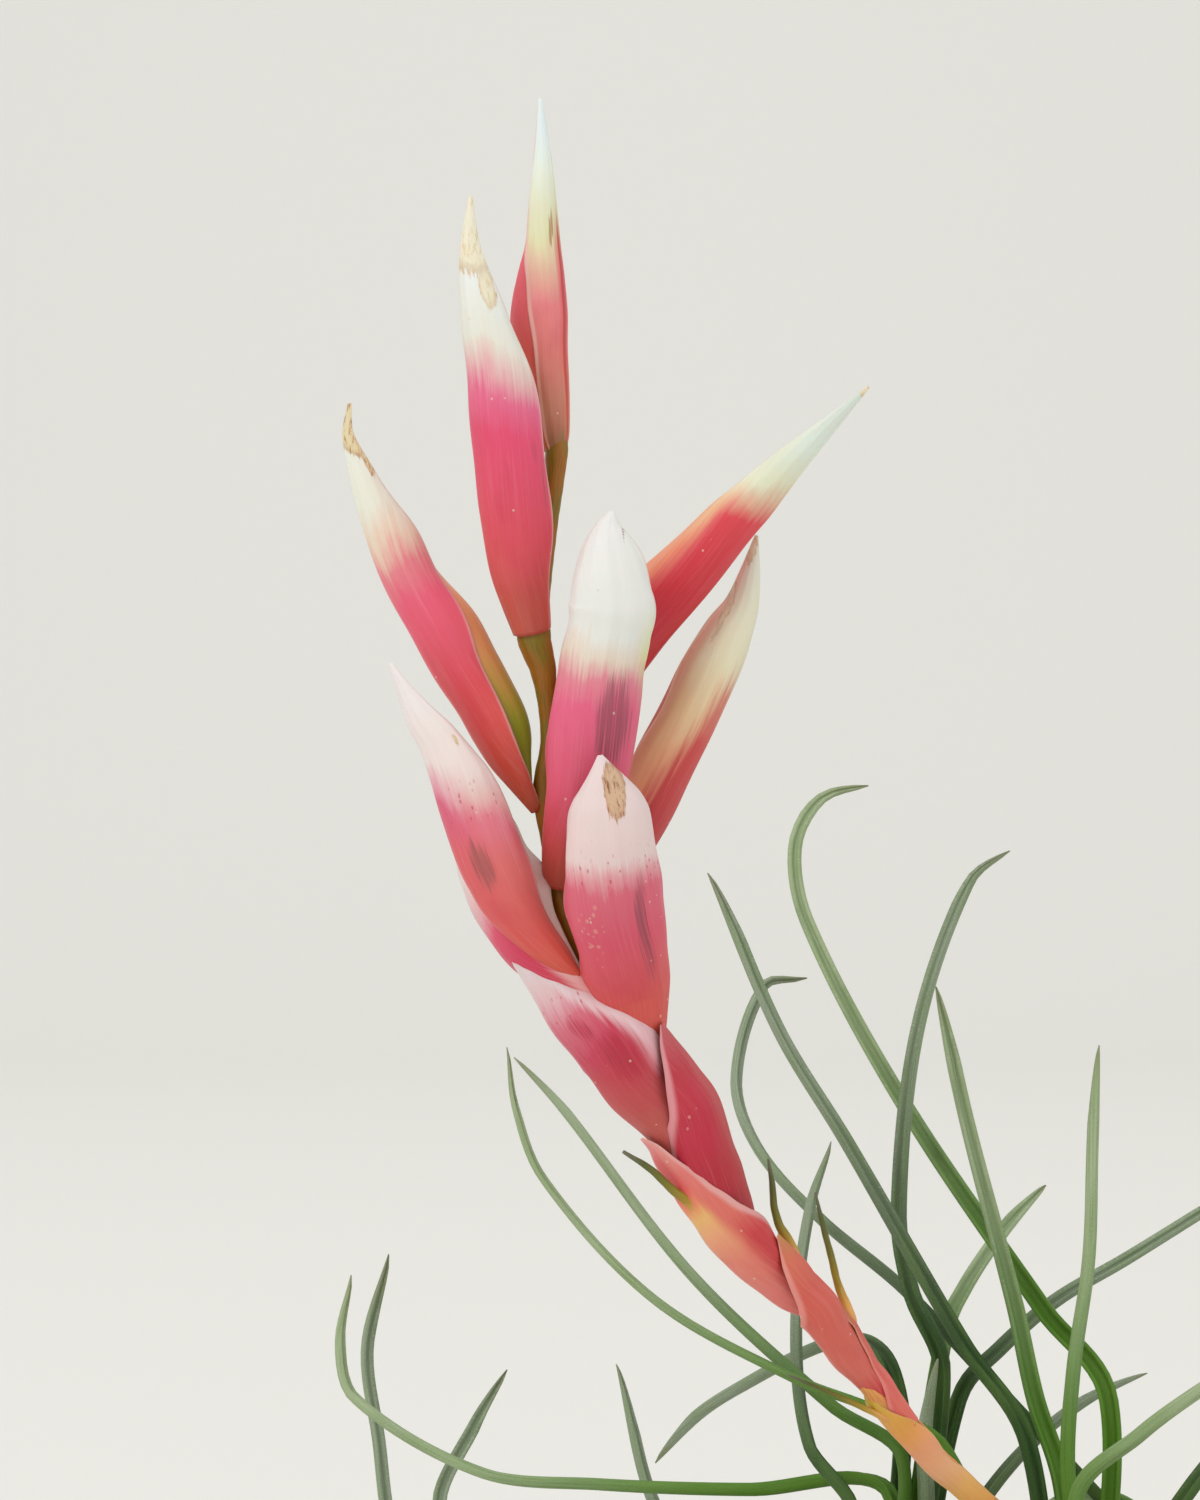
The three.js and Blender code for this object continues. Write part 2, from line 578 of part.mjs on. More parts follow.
// All leaves of a rosette, from the heart outwards. A sheath lies outside each earlier one it overlaps.
function rosetteLeaves(name) {
  const middle = ROSETTES[name];
  const traced = TRACED_LEAVES.filter((leaf) => leaf[0] === name).map(([, degrees, blade]) => {
    const reach = Math.hypot(blade[0][0] - middle[0], blade[0][1] - middle[1]);
    return { degrees, blade, steep: Math.atan2(blade[0][2] - SHEATH_TOP, reach) };
  });
  const ruled = RULED_LEAVES.filter((leaf) => leaf[0] === name).map(([, degrees, rise, fall, length]) => (
    { degrees, arc: [rise, fall, length], steep: radians(rise) }
  ));
  const placed = [];
  return [...traced, ...ruled].sort((a, b) => b.steep - a.steep).map((leaf) => {
    const apart = (other) => Math.abs(((leaf.degrees - other.degrees + 540) % 360) - 180);
    const covered = placed.filter((other) => apart(other) < 2 * SHEATH_SPREAD + SHEATH_ROOM);
    const beneath = covered.map((other) => other.layer);
    const layer = Math.max(-1, ...beneath) + 1;
    placed.push({ degrees: leaf.degrees, layer });
    const radius = CORE_RADIUS + SEAT_GAP + WALL + layer * (WALL + LEAF_GAP);
    const top = SHEATH_TOP - layer * SHEATH_STEP;
    const blade = leaf.blade ?? arcBlade(middle, leaf.degrees, radius, top, ...leaf.arc);
    return leafGeometry(middle, leaf.degrees, radius, top, blade);
  });
}

// The short rhizome with a plate and a heart for each rosette, and the trimmed wiry roots.
function rhizomeGeometry() {
  const upright = (radiusTop, radiusBottom, height, at) => (
    new THREE.CylinderGeometry(radiusTop, radiusBottom, height, 20)
      .rotateX(Math.PI / 2)
      .translate(at[0], at[1], height / 2)
  );
  const middles = Object.values(ROSETTES);
  const parts = middles.map((middle) => upright(PLATE_RADIUS - 0.8, PLATE_RADIUS, RHIZOME_TOP, middle));
  for (const middle of middles) parts.push(upright(CORE_RADIUS - 0.2, CORE_RADIUS, CORE_TOP, middle));
  for (const [x, y] of middles.slice(1)) {
    const creeper = new THREE.BoxGeometry(Math.hypot(x, y), CREEPER_WIDTH, CREEPER_HEIGHT);
    parts.push(creeper.rotateZ(Math.atan2(y, x)).translate(x / 2, y / 2, CREEPER_HEIGHT / 2));
  }
  const rootCount = 11;
  const goldenTurn = 137.5;
  for (let i = 0; i < rootCount; i += 1) {
    const [x, y] = middles[i % middles.length];
    const side = radians(195 + goldenTurn * i);
    const reach = 19 + 5 * Math.sin(2.4 * i);
    const bend = 0.3 * Math.cos(3.1 * i);
    const rows = [0.12, 0.45, 0.75, 1].map((part, k) => [
      x + reach * part * Math.cos(side + bend * part),
      y + reach * part * Math.sin(side + bend * part),
      ROOT_RADIUS * [1.1, 1, 1.03, 1][k],
      ROOT_RADIUS * (1 - 0.35 * part),
    ]);
    parts.push(stemGeometry(rows, 6, 6));
  }
  return joined(parts);
}

function addPiece(group, name, geometry, color, roughness) {
  const mesh = new THREE.Mesh(geometry, new THREE.MeshStandardMaterial({ color, roughness, metalness: 0 }));
  mesh.name = name;
  group.add(mesh);
}

const plant = new THREE.Group();
addPiece(plant, 'rhizome_and_roots', rhizomeGeometry(), COLOURS.rhizome, 0.9);
addPiece(plant, 'scape', stemGeometry(SCAPE, 8, 44), COLOURS.scape, 0.5);
FLORAL_BRACTS.forEach((bract, i) => {
  addPiece(plant, `floral_bract_${i + 1}`, bractGeometry(bract), COLOURS.bract, 0.45);
  addPiece(plant, `flower_bud_${i + 1}`, budGeometry(bract), COLOURS.bud, 0.5);
});
WRAP_BRACTS.forEach((bract, i) => {
  const geometry = bractGeometry({ ...bract, line: wrapLine(bract) });
  addPiece(plant, `wrap_bract_${i + 1}`, geometry, COLOURS.bract, 0.45);
});
SCAPE_BRACTS.forEach((bract, i) => {
  const geometry = scapeBractGeometry({ ...bract, line: wrapLine(bract) });
  addPiece(plant, `scape_bract_${i + 1}`, geometry, COLOURS.sheath, 0.5);
});
let leafNumber = 0;
for (const name of Object.keys(ROSETTES)) {
  for (const leaf of rosetteLeaves(name)) {
    leafNumber += 1;
    addPiece(plant, `leaf_${String(leafNumber).padStart(2, '0')}`, leaf, COLOURS.leaf, 0.6);
  }
}

export default plant;
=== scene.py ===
import math
import bpy
import bmesh
import numpy as np
from mathutils import Matrix
from types import SimpleNamespace


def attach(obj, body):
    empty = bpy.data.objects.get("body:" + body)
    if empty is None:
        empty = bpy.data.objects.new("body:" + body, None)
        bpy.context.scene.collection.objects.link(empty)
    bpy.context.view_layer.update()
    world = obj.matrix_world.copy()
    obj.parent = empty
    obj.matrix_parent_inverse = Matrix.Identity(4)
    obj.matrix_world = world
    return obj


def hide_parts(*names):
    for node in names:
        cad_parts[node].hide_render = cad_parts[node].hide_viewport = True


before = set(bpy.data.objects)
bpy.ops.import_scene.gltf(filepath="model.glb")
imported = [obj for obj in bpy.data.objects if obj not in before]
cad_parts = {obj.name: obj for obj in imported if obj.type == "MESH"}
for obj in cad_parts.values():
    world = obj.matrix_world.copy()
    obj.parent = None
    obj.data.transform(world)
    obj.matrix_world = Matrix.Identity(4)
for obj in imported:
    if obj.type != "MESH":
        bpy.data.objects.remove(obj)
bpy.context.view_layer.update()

# View.
# The plant is seen level, straight at the flat face of its spike, from a little over 40 cm.
# The spike leans to the left, so the view is centred to the left of the rosettes.
MM = 0.001
camera_data = bpy.data.cameras.new("view")
camera_data.sensor_fit = "VERTICAL"
camera_data.sensor_height = 36
camera_data.lens = 120.96
camera = bpy.data.objects.new("view", camera_data)
camera.location = (-42 * MM, -440 * MM, 90 * MM)
camera.rotation_euler = (math.pi / 2, 0, 0)
bpy.context.scene.collection.objects.link(camera)
bpy.context.scene.camera = camera


# Floor.
# A pale matt sheet that runs flat under the plant and curves up far behind it.
def paint(red, green, blue):
    """A colour given as it shows on a screen, 0 to 255, in the linear numbers that shaders take."""
    def linear(value):
        value /= 255
        return value / 12.92 if value <= 0.04045 else ((value + 0.055) / 1.055) ** 2.4
    return (linear(red), linear(green), linear(blue), 1)


def feed(node, inputs):
    """Sets inputs of a shader node to numbers, or links them to the outputs that feed them."""
    for place, value in inputs.items():
        if isinstance(value, bpy.types.NodeSocket):
            node.id_data.links.new(value, node.inputs[place])
        else:
            node.inputs[place].default_value = value


def add(tree, kind, inputs=None, **settings):
    node = tree.nodes.new("ShaderNode" + kind)
    for name, value in settings.items():
        setattr(node, name, value)
    feed(node, inputs or {})
    return node


def start_finish(name):
    finish = bpy.data.materials.new(name)
    finish.use_nodes = True
    return finish, finish.node_tree, finish.node_tree.nodes["Principled BSDF"]


def coat(surface, colour, roughness, relief, strength, depth):
    """Gives a surface its colour, its roughness and a fine relief, whose depth is in millimetres."""
    bump = add(surface.id_data, "Bump", {"Strength": strength, "Distance": depth * MM, "Height": relief})
    feed(surface, {"Base Color": colour, "Roughness": roughness, "Normal": bump.outputs[0]})


floor_finish, tree, surface = start_finish("pale paper")
fibre = add(tree, "TexNoise", {"Scale": 900.0, "Detail": 3.0}).outputs[0]
coat(surface, paint(234, 233, 228), 0.9, fibre, strength=0.02, depth=0.2)
surface.inputs["Specular IOR Level"].default_value = 0.1

sweep_radius = 0.8
flat_to = 1.0
curve_steps = 24
profile = [(-2.0, 0.0), (flat_to, 0.0)]
for step in range(1, curve_steps + 1):
    angle = math.pi / 2 * step / curve_steps
    profile.append((flat_to + sweep_radius * math.sin(angle), sweep_radius * (1 - math.cos(angle))))
profile.append((flat_to + sweep_radius, 2.4))
points = [(side, depth, height) for side in (-2.2, 2.2) for depth, height in profile]
strips = [(i, len(profile) + i, len(profile) + i + 1, i + 1) for i in range(len(profile) - 1)]
floor_mesh = bpy.data.meshes.new("floor")
floor_mesh.from_pydata(points, [], strips)
floor_mesh.materials.append(floor_finish)
floor_mesh.polygons.foreach_set("use_smooth", [True] * len(floor_mesh.polygons))
floor = bpy.data.objects.new("floor", floor_mesh)
bpy.context.scene.collection.objects.link(floor)


# Light.
# Soft daylight from all around, with a broad window to the upper left and a weaker one to the right.
def window(name, place, aim, width, watts, colour):
    light = bpy.data.lights.new(name, "AREA")
    light.shape = "SQUARE"
    light.size = width
    light.energy = watts
    light.color = colour
    holder = bpy.data.objects.new(name, light)
    holder.location = place
    away = np.array(place) - np.array(aim)
    tilt = math.acos(away[2] / np.linalg.norm(away))
    holder.rotation_euler = (tilt, 0, math.atan2(away[1], away[0]) + math.pi / 2)
    bpy.context.scene.collection.objects.link(holder)


window("window left", (-0.75, -0.75, 0.85), (-0.04, 0, 0.08), 0.7, 5.0, (1, 0.985, 0.965))
window("window right", (0.8, -0.5, 0.5), (0, 0, 0.06), 0.8, 1.3, (0.97, 0.985, 1))
window("window above", (-0.1, 0.05, 1.1), (-0.05, 0.1, 0), 0.8, 1.6, (1, 1, 1))
window("window behind", (-0.05, 0.7, 1.3), (-0.05, 1.75, 0.35), 0.9, 3.0, (1, 1, 1))
world = bpy.data.worlds.new("daylight")
world.use_nodes = True
feed(world.node_tree.nodes["Background"], {"Color": (1, 1, 0.995, 1), "Strength": 0.68})
bpy.context.scene.world = world
bpy.context.scene.view_settings.view_transform = "Standard"


# Roots and rhizome.
# The woody rhizome is a short trimmed stem with a plate and a heart under each of its three rosettes.
# Old leaf bases leave rings on it, and thin wiry roots grow from its underside.
rosettes = {"main": (0, 0), "left": (-15, 16), "right": (13.5, 13)}
rhizome_top = 2.0
core_radius = 1.9
core_top = 7.7


def show(name, mesh, finish, slot, *nodes):
    """Puts a finished mesh into the scene as a piece of the plant."""
    mesh.materials.append(finish)
    mesh.polygons.foreach_set("use_smooth", [True] * len(mesh.polygons))
    piece = bpy.data.objects.new(name, mesh)
    bpy.context.scene.collection.objects.link(piece)
    if nodes:
        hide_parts(*nodes)
    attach(piece, "root")
    return piece


def reckon(operation, *numbers):
    """One step of arithmetic, whose first number is the output of a shader node."""
    return add(numbers[0].id_data, "Math", dict(enumerate(numbers)), operation=operation).outputs[0]


def times(first, second):
    return reckon("MULTIPLY", first, second)


def plus(first, second):
    return reckon("ADD", first, second)


def between(value, low, high):
    """0 below low, 1 above high, and smooth in between. It falls instead where low is above high."""
    ends = (0.0, 1.0) if low < high else (1.0, 0.0)
    return add(value.id_data, "MapRange",
               {"Value": value, "From Min": min(low, high), "From Max": max(low, high),
                "To Min": ends[0], "To Max": ends[1]}, interpolation_type="SMOOTHSTEP").outputs[0]


def mixed(factor, first, second):
    """One colour turning into another as factor goes from 0 to 1."""
    return add(factor.id_data, "Mix", {0: factor, 6: first, 7: second}, data_type="RGBA").outputs[2]


def stretched(place, scale):
    return add(place.id_data, "Mapping", {"Vector": place, "Scale": scale}).outputs[0]


def clouds(place, scale, detail, roughness=0.5):
    """A pattern of soft clouds from 0 to 1, so many of them in a unit of `place` each way."""
    return add(place.id_data, "TexNoise", {"Vector": stretched(place, scale), "Scale": 1.0, "Detail": detail,
                                           "Roughness": roughness}).outputs[0]


bark, tree, surface = start_finish("rhizome bark")
place = add(tree, "TexCoord").outputs["Object"]
rings = clouds(place, (200, 200, 1400), 4)
lumps = add(tree, "TexNoise", {"Vector": place, "Scale": 900.0, "Detail": 6.0, "Roughness": 0.65}).outputs[0]
colour = mixed(between(rings, 0.35, 0.68), paint(70, 50, 34), paint(139, 110, 78))
colour = mixed(between(lumps, 0.55, 0.75), colour, paint(173, 150, 116))
coat(surface, colour, 0.85, plus(rings, lumps), strength=0.7, depth=0.6)

wood = bmesh.new()
for x, y in rosettes.values():
    for radius, bottom, top in ((6.2, 0, 1.5), (5.6, 1.2, rhizome_top), (core_radius, 1, core_top)):
        lathe = bmesh.ops.create_cone(wood, cap_ends=True, segments=40, radius1=radius, radius2=radius * 0.93,
                                      depth=top - bottom)
        bmesh.ops.translate(wood, verts=lathe["verts"], vec=(x, y, (top + bottom) / 2))
for x, y in (rosettes["left"], rosettes["right"]):
    bar = bmesh.ops.create_cube(wood, size=1)
    bmesh.ops.scale(wood, verts=bar["verts"], vec=(math.hypot(x, y), 5, 1.7))
    bmesh.ops.rotate(wood, verts=bar["verts"], matrix=Matrix.Rotation(math.atan2(y, x), 3, "Z"))
    bmesh.ops.translate(wood, verts=bar["verts"], vec=(x / 2, y / 2, 0.85))
rhizome_mesh = bpy.data.meshes.new("rhizome")
wood.to_mesh(rhizome_mesh)
wood.free()
rhizome_mesh.transform(Matrix.Scale(MM, 4))
rhizome = show("rhizome", rhizome_mesh, bark, "rhizome", "rhizome_and_roots")
grown = rhizome.modifiers.new("grown", "REMESH")
grown.mode = "VOXEL"
grown.voxel_size = 0.35 * MM
rhizome.data = bpy.data.meshes.new_from_object(rhizome.evaluated_get(bpy.context.evaluated_depsgraph_get()))
rhizome.modifiers.clear()
spots = np.empty(len(rhizome.data.vertices) * 3)
rhizome.data.vertices.foreach_get("co", spots)
spots = spots.reshape(-1, 3)
normals = np.empty(spots.size)
rhizome.data.vertices.foreach_get("normal", normals)
x, y, z = spots.T / MM
swell = 0.12 * np.sin(z * 7.5) + 0.18 * np.sin(x * 2.1 + 1) * np.sin(y * 1.9)
swell *= np.clip(z / 0.6, 0, 1)
spots += normals.reshape(-1, 3) * swell[:, None] * MM
spots[:, 2] = np.maximum(spots[:, 2], 0)
rhizome.data.vertices.foreach_set("co", spots.ravel())
rhizome.data.polygons.foreach_set("use_smooth", [True] * len(rhizome.data.polygons))
rhizome.data.update()


# The roots are wiry, dark and trimmed short. They lie spread out on the floor.
def smooth(places, values, slopes, wanted):
    """Values at the wanted places, on a smooth curve through the values that are given with their slopes."""
    i = np.clip(np.searchsorted(places, wanted, side="right") - 1, 0, len(places) - 2)
    span = (places[i + 1] - places[i])[:, None]
    u = (wanted - places[i])[:, None] / span
    start = 1 - u * u * (3 - 2 * u)
    leave = u * (1 - u) ** 2 * span
    arrive = u * u * (u - 1) * span
    return values[i] * start + values[i + 1] * (1 - start) + slopes[i] * leave + slopes[i + 1] * arrive


def curve_through(rows):
    """A smooth curve through rows of numbers whose first three are a point, as a function of the part of its
    length, and that length."""
    rows = np.array(rows, float)
    steps = np.linalg.norm(np.diff(rows[:, :3], axis=0), axis=1)
    along = np.concatenate([[0], np.cumsum(steps)])
    after = np.minimum(np.arange(len(rows)) + 1, len(rows) - 1)
    before = np.maximum(np.arange(len(rows)) - 1, 0)
    slopes = (rows[after] - rows[before]) / (along[after] - along[before])[:, None]

    def at(part):
        return smooth(along, rows, slopes, np.clip(np.atleast_1d(part), 0, 1) * along[-1])
    return at, along[-1]


def heading(at, part):
    """The direction of a curve at parts of its length."""
    ahead = at(np.minimum(part + 0.004, 1))[:, :3] - at(np.maximum(part - 0.004, 0))[:, :3]
    return ahead / np.linalg.norm(ahead, axis=1)[:, None]


def square_to(direction, hint):
    """The part of hint that is square to each direction, as a unit."""
    across = hint - (direction * hint).sum(1)[:, None] * direction
    return across / np.linalg.norm(across, axis=1)[:, None]


def points_round(centre, first, second, turn, reach, second_reach=None):
    """Rings of points round a line, each at its turn from the first cross direction to the second."""
    second_reach = reach if second_reach is None else second_reach
    return (centre[:, None] + first[:, None] * (np.cos(turn) * reach)[:, :, None]
            + second[:, None] * (np.sin(turn) * second_reach)[:, :, None])


def at_points(shape, *values):
    """Three values for each point of a grid."""
    return np.stack([np.broadcast_to(value, shape) for value in values], axis=2)


def skin(name, points, facts):
    """A closed mesh from rings of points in millimetres. `facts` are values kept at each point."""
    rings, around = points.shape[:2]
    faces = []
    for r in range(rings - 1):
        for c in range(around):
            d = (c + 1) % around
            faces.append((r * around + c, r * around + d, (r + 1) * around + d, (r + 1) * around + c))
    faces.append(tuple(range(around))[::-1])
    faces.append(tuple((rings - 1) * around + c for c in range(around)))
    mesh = bpy.data.meshes.new(name)
    mesh.from_pydata((points.reshape(-1, 3) * MM).tolist(), [], faces)
    for fact, values in facts.items():
        layer = mesh.attributes.new(fact, "FLOAT_VECTOR", "POINT")
        layer.data.foreach_set("vector", values.reshape(-1, 3).ravel())
    shell = bmesh.new()
    shell.from_mesh(mesh)
    bmesh.ops.recalc_face_normals(shell, faces=shell.faces)
    shell.to_mesh(mesh)
    shell.free()
    return mesh


def rod(name, rows, sides, rings, seed, wobble):
    """A round stem, root or thread along rows of x, y, z and radius."""
    at, length = curve_through(rows)
    part = np.linspace(0, 1, rings)
    row = at(part)
    direction = heading(at, part)
    first = square_to(direction, np.array([0.31, 1, 0.17]))
    second = np.cross(direction, first)
    turn = np.linspace(0, 2 * np.pi, sides, endpoint=False)
    along = part[:, None] * length
    bumps = 1 + wobble * (np.sin(along * 1.7 + seed) * 0.5 + np.sin(along * 4.1 + 3 * np.sin(turn + seed)))
    radius = row[:, 3][:, None] * bumps
    lie = at_points(radius.shape, np.sin(turn), along, np.cos(turn) + seed)
    place = at_points(radius.shape, np.cos(turn), part[:, None], 0)
    return skin(name, points_round(row[:, :3], first, second, turn, radius), {"lie": lie, "place": place})


def kept(tree, fact):
    """What a mesh keeps at its points under a name."""
    return add(tree, "Attribute", attribute_name=fact).outputs["Vector"]


def three(vector):
    return add(vector.id_data, "SeparateXYZ", {0: vector}).outputs


def beside(spot, angle, reach):
    """The place on the ground plan that is so far from a spot, in a direction in radians."""
    return (spot[0] + reach * math.cos(angle), spot[1] + reach * math.sin(angle))


root_bark, tree, surface = start_finish("root bark")
strands = clouds(kept(tree, "lie"), (3, 0.6, 3), 5)
colour = mixed(between(strands, 0.4, 0.66), paint(52, 39, 30), paint(121, 98, 74))
coat(surface, colour, 0.8, strands, strength=0.6, depth=0.3)
golden_turn = 137.5
wires = []
for i in range(11):
    middle = list(rosettes.values())[i % 3]
    side = math.radians(195 + golden_turn * i)
    reach = 19 + 5 * math.sin(2.4 * i)
    bend = 0.3 * math.cos(3.1 * i)
    path = []
    for part, lift in ((0.12, 1.1), (0.45, 1.0), (0.75, 1.03), (1, 1.0)):
        path.append((*beside(middle, side + bend * part, reach * part), 0.82 * lift, 0.74 * (1 - 0.5 * part)))
    wires.append(rod("root", path, sides=12, rings=60, seed=i, wobble=0.06))
    for k in range(3):
        along = 0.4 + 0.2 * k
        fork = side + bend * along + (0.7 if k % 2 else -0.7)
        foot = beside(middle, side + bend * along, reach * along)
        hair = 3.5 - 0.6 * k
        path = [(*foot, 0.7, 0.22), (*beside(foot, fork, hair * 0.5), 0.45, 0.17),
                (*beside(foot, fork + 0.3, hair), 0.2, 0.1)]
        wires.append(rod("rootlet", path, sides=6, rings=14, seed=i + k, wobble=0.1))
tangle = bmesh.new()
for wire in wires:
    tangle.from_mesh(wire)
    bpy.data.meshes.remove(wire)
roots_mesh = bpy.data.meshes.new("roots")
tangle.to_mesh(roots_mesh)
tangle.free()
show("roots", roots_mesh, root_bark, "rhizome")


# Leaves.
# Thread-like leaves, channelled along the top and grey-green with fine scurf, from broad brown sheaths
# that wrap the heart of each rosette. The steepest leaves are the innermost.
seat_gap = 0.3
leaf_wall = 0.6
leaf_gap = 0.45
sheath_spread = 40
sheath_top = 13
sheath_step = 1.2
blade_spread = 112
blade_radius = 0.86
blade_taper = 0.2
tip_length = 7

# Each leaf has its rosette, its side in degrees and points along its blade, and may say how slim it is and
# how fresh its green is.
traced_leaves = [
    ("main", 141, [(-5, 4, 29), (-10, 10, 36.5), (-20, 20, 54), (-26, 25, 64), (-32, 30, 78.5)]),
    ("main", 66, [(3.5, 8, 32), (-1.5, 16, 39), (-13.5, 32, 57), (-22, 42, 73.5), (-23, 45, 80.5),
     (-20.5, 47, 85), (-16, 48, 86.5)]),
    ("left", 40, [(-10.5, 16, 34), (-13, 20, 40.5), (-14, 23, 47.5), (-12, 28, 64), (-7, 32, 77.5),
     (-3.5, 33, 80.5)]),
    ("main", 104, [(-1.5, 4, 25), (-3.5, 8, 32), (-5, 12, 40), (-9, 17, 56.5), (-11.5, 18, 68.5)]),
    ("main", 300, [(-1, -3, 26.5), (-0.5, -2, 36), (1, 0, 45.5), (1.5, 2, 55), (2, 4, 64)], 0.8, 0.85),
    ("left", 60, [(-9, 20, 30.5), (-5, 24, 34.5), (0.5, 28, 38.5), (7.5, 32, 42), (20.5, 36, 49.5)], 0.9,
     0.3),
    ("left", 85, [(-10.5, 24, 35), (-8, 32, 39), (-3.5, 40, 44), (1, 46, 48)]),
    ("right", 174, [(-8.5, 18, 34), (-14.5, 25, 40), (-21.5, 32, 45.5), (-27.5, 38, 52), (-29.5, 42, 58.5),
     (-26.5, 46, 67.5), (-22, 47, 68)]),
    ("left", 170, [(-19.5, 14, 20.5), (-23.5, 19, 26.5), (-24.5, 24, 36.5), (-23, 28, 47.5),
     (-20.5, 30, 53.5)]),
    ("main", 168, [(-12, 2, 28.5), (-18, 4, 31.5), (-25, 6, 34), (-37.5, 12, 40.5), (-47.5, 17, 51),
     (-50, 18, 57.5), (-50.5, 18, 63)], 0.7),
    ("left", 238, [(-15.5, 8, 27), (-21.5, 12, 31), (-34, 20, 42), (-45.5, 26, 56.5), (-50, 27, 61.5)], 0.7),
    ("right", 140, [(2, 22, 12), (-8, 30, 13), (-32.5, 37, 6.5), (-49.5, 48, 6), (-61.5, 54, 10.5),
     (-64.5, 58, 23), (-65.5, 60, 31), (-63, 60, 40)]),
    ("left", 148, [(-16.5, 18, 22.5), (-28, 26, 21), (-42, 33, 20.5), (-53.5, 38, 21), (-66, 44, 27.5),
     (-67.5, 45, 33), (-66, 45, 39.5)]),
    ("left", 118, [(-20, 24, 14), (-32.5, 33, 10.5), (-49.5, 41, 9.5), (-57.5, 46, 16.5), (-54, 48, 25),
     (-51, 48, 30)]),
    ("left", 162, [(-26.5, 20, 10.5), (-30.5, 25.5, 12), (-34.5, 31, 14.5), (-38, 38, 20),
     (-40.5, 40, 31.5)]),
    ("left", 104, [(-14.6, 21.5, 26), (-15.4, 26, 32.4), (-17.8, 32, 34.2), (-21.5, 40, 32.4),
     (-27.5, 48, 28.2), (-32, 54, 24.5), (-36.5, 58, 19.5)]),
    ("main", 280, [(-1, -8, 25.5), (4, -12, 31.5), (8.5, -15, 35.5), (15.5, -20, 41)], 0.85, 0.9),
    ("left", 296, [(-12.5, 9.5, 22), (-12.8, 8, 29), (-12, 7, 36)]),
]

# These leaves arch over. Each has its rosette, its side, its slope at foot and tip, and its length.
arching_leaves = [
    ("main", 205, 22, -62, 46), ("main", 258, 38, -70, 52), ("main", 320, 44, -74, 56),
    ("main", 352, 58, -12, 50), ("main", 28, 66, 8, 46), ("left", 12, 74, 20, 30), ("left", 200, 20, -62, 42),
    ("right", 20, 46, -78, 58), ("right", 68, 60, -34, 58), ("right", 110, 42, -76, 58),
    ("right", 300, 42, -74, 52), ("right", 336, 64, -20, 60), ("right", 285, 76, 40, 24),
]


def eased(value):
    value = np.clip(value, 0, 1)
    return value * value * (3 - 2 * value)


def folded(name, centre, keel, side, theta, radius_side, radius_keel, wall, place, lie, marks, marks_inside):
    """A folded leaf as a closed skin: its outer face, then its inner face, a wall's thickness further in."""
    def face(inset):
        return points_round(centre, keel, side, theta, np.maximum(radius_keel - inset, 0.04),
                            np.maximum(radius_side - inset, 0.04))
    around = np.concatenate([face(0), face(wall)[:, ::-1]], axis=1)
    facts = {"place": np.concatenate([place, place[:, ::-1] + np.array([0, 0, 1])], axis=1),
             "lie": np.concatenate([lie, lie[:, ::-1]], axis=1),
             "marks": np.concatenate([marks, marks[:, ::-1] * marks_inside], axis=1)}
    return skin(name, around, facts)


def leaf_mesh(name, middle, degrees, layer_radius, layer_top, blade, seed, slim, tone):
    out = np.array([*beside((0, 0), math.radians(degrees), 1), 0])
    foot = np.array([*middle, rhizome_top + seat_gap]) + out * layer_radius
    shoulder = foot.copy()
    shoulder[2] = layer_top
    straight = [foot + (shoulder - foot) * part for part in (0.5, 0.8)]
    at, length = curve_through([foot, *straight, shoulder, *blade])
    sheath_part = (layer_top - foot[2]) / length
    opened = sheath_part + 6 / length
    part = np.concatenate([np.linspace(0, sheath_part, 10, endpoint=False),
                           np.linspace(sheath_part, opened, 8, endpoint=False),
                           np.linspace(opened, 1, int(20 + length * 0.55))])
    direction = heading(at, part)
    keel = np.empty_like(direction)
    last = out
    for i, ahead in enumerate(direction):
        last = last - ahead * last.dot(ahead)
        last = last / np.linalg.norm(last)
        keel[i] = last
    side = np.cross(direction, keel)
    change = eased((part - sheath_part * 0.5) / (opened - sheath_part * 0.5))
    tip = np.sqrt(np.clip((1 - part) * length / tip_length, 0.01, 1))
    bladed = (blade_radius - blade_taper * eased((part - 0.3) / 0.7)) * tip * slim
    radius = layer_radius + (bladed - layer_radius) * change
    lapped = sheath_spread + 3
    spread = np.radians(lapped + (blade_spread - lapped) * change)
    u = np.linspace(-1, 1, 17)
    theta = spread[:, None] * u
    high = part * length
    ripple = 1 + 0.02 * np.sin(high * 0.35 + seed)
    wall = (0.42 + 0.1 * change)[:, None] * (0.5 + 0.5 * np.sqrt(1 - 0.98 * u ** 4)) * ripple[:, None]
    wall = np.minimum(wall, 0.7 * radius[:, None])
    centre = at(part)[:, :3] - keel * radius[:, None]
    belly = 0.06 - 0.2 * eased((3 - high) / 3) - 0.14 * eased((high - 5) / 6)
    radius = (radius + layer_radius * belly * (1 - change))[:, None]
    place = at_points(theta.shape, u, part[:, None], 0)
    lie = at_points(theta.shape, theta * radius, high[:, None], seed * 7.0)
    marks = at_points(theta.shape, (1 - eased((high - 7) / 16))[:, None], 1 - tip[:, None], tone)
    full = np.broadcast_to(radius, theta.shape)
    return folded(name, centre, keel, side, theta, full, full, wall, place, lie, marks, 1)


def arching_blade(middle, degrees, reach, height, rise, fall, length):
    blade = []
    for i in range(5):
        slope = math.radians(rise + (fall - rise) * (i + 0.5) / 5)
        reach += math.cos(slope) * length / 5
        height += math.sin(slope) * length / 5
        blade.append((*beside(middle, math.radians(degrees), reach), max(height, 0.35)))
    return blade


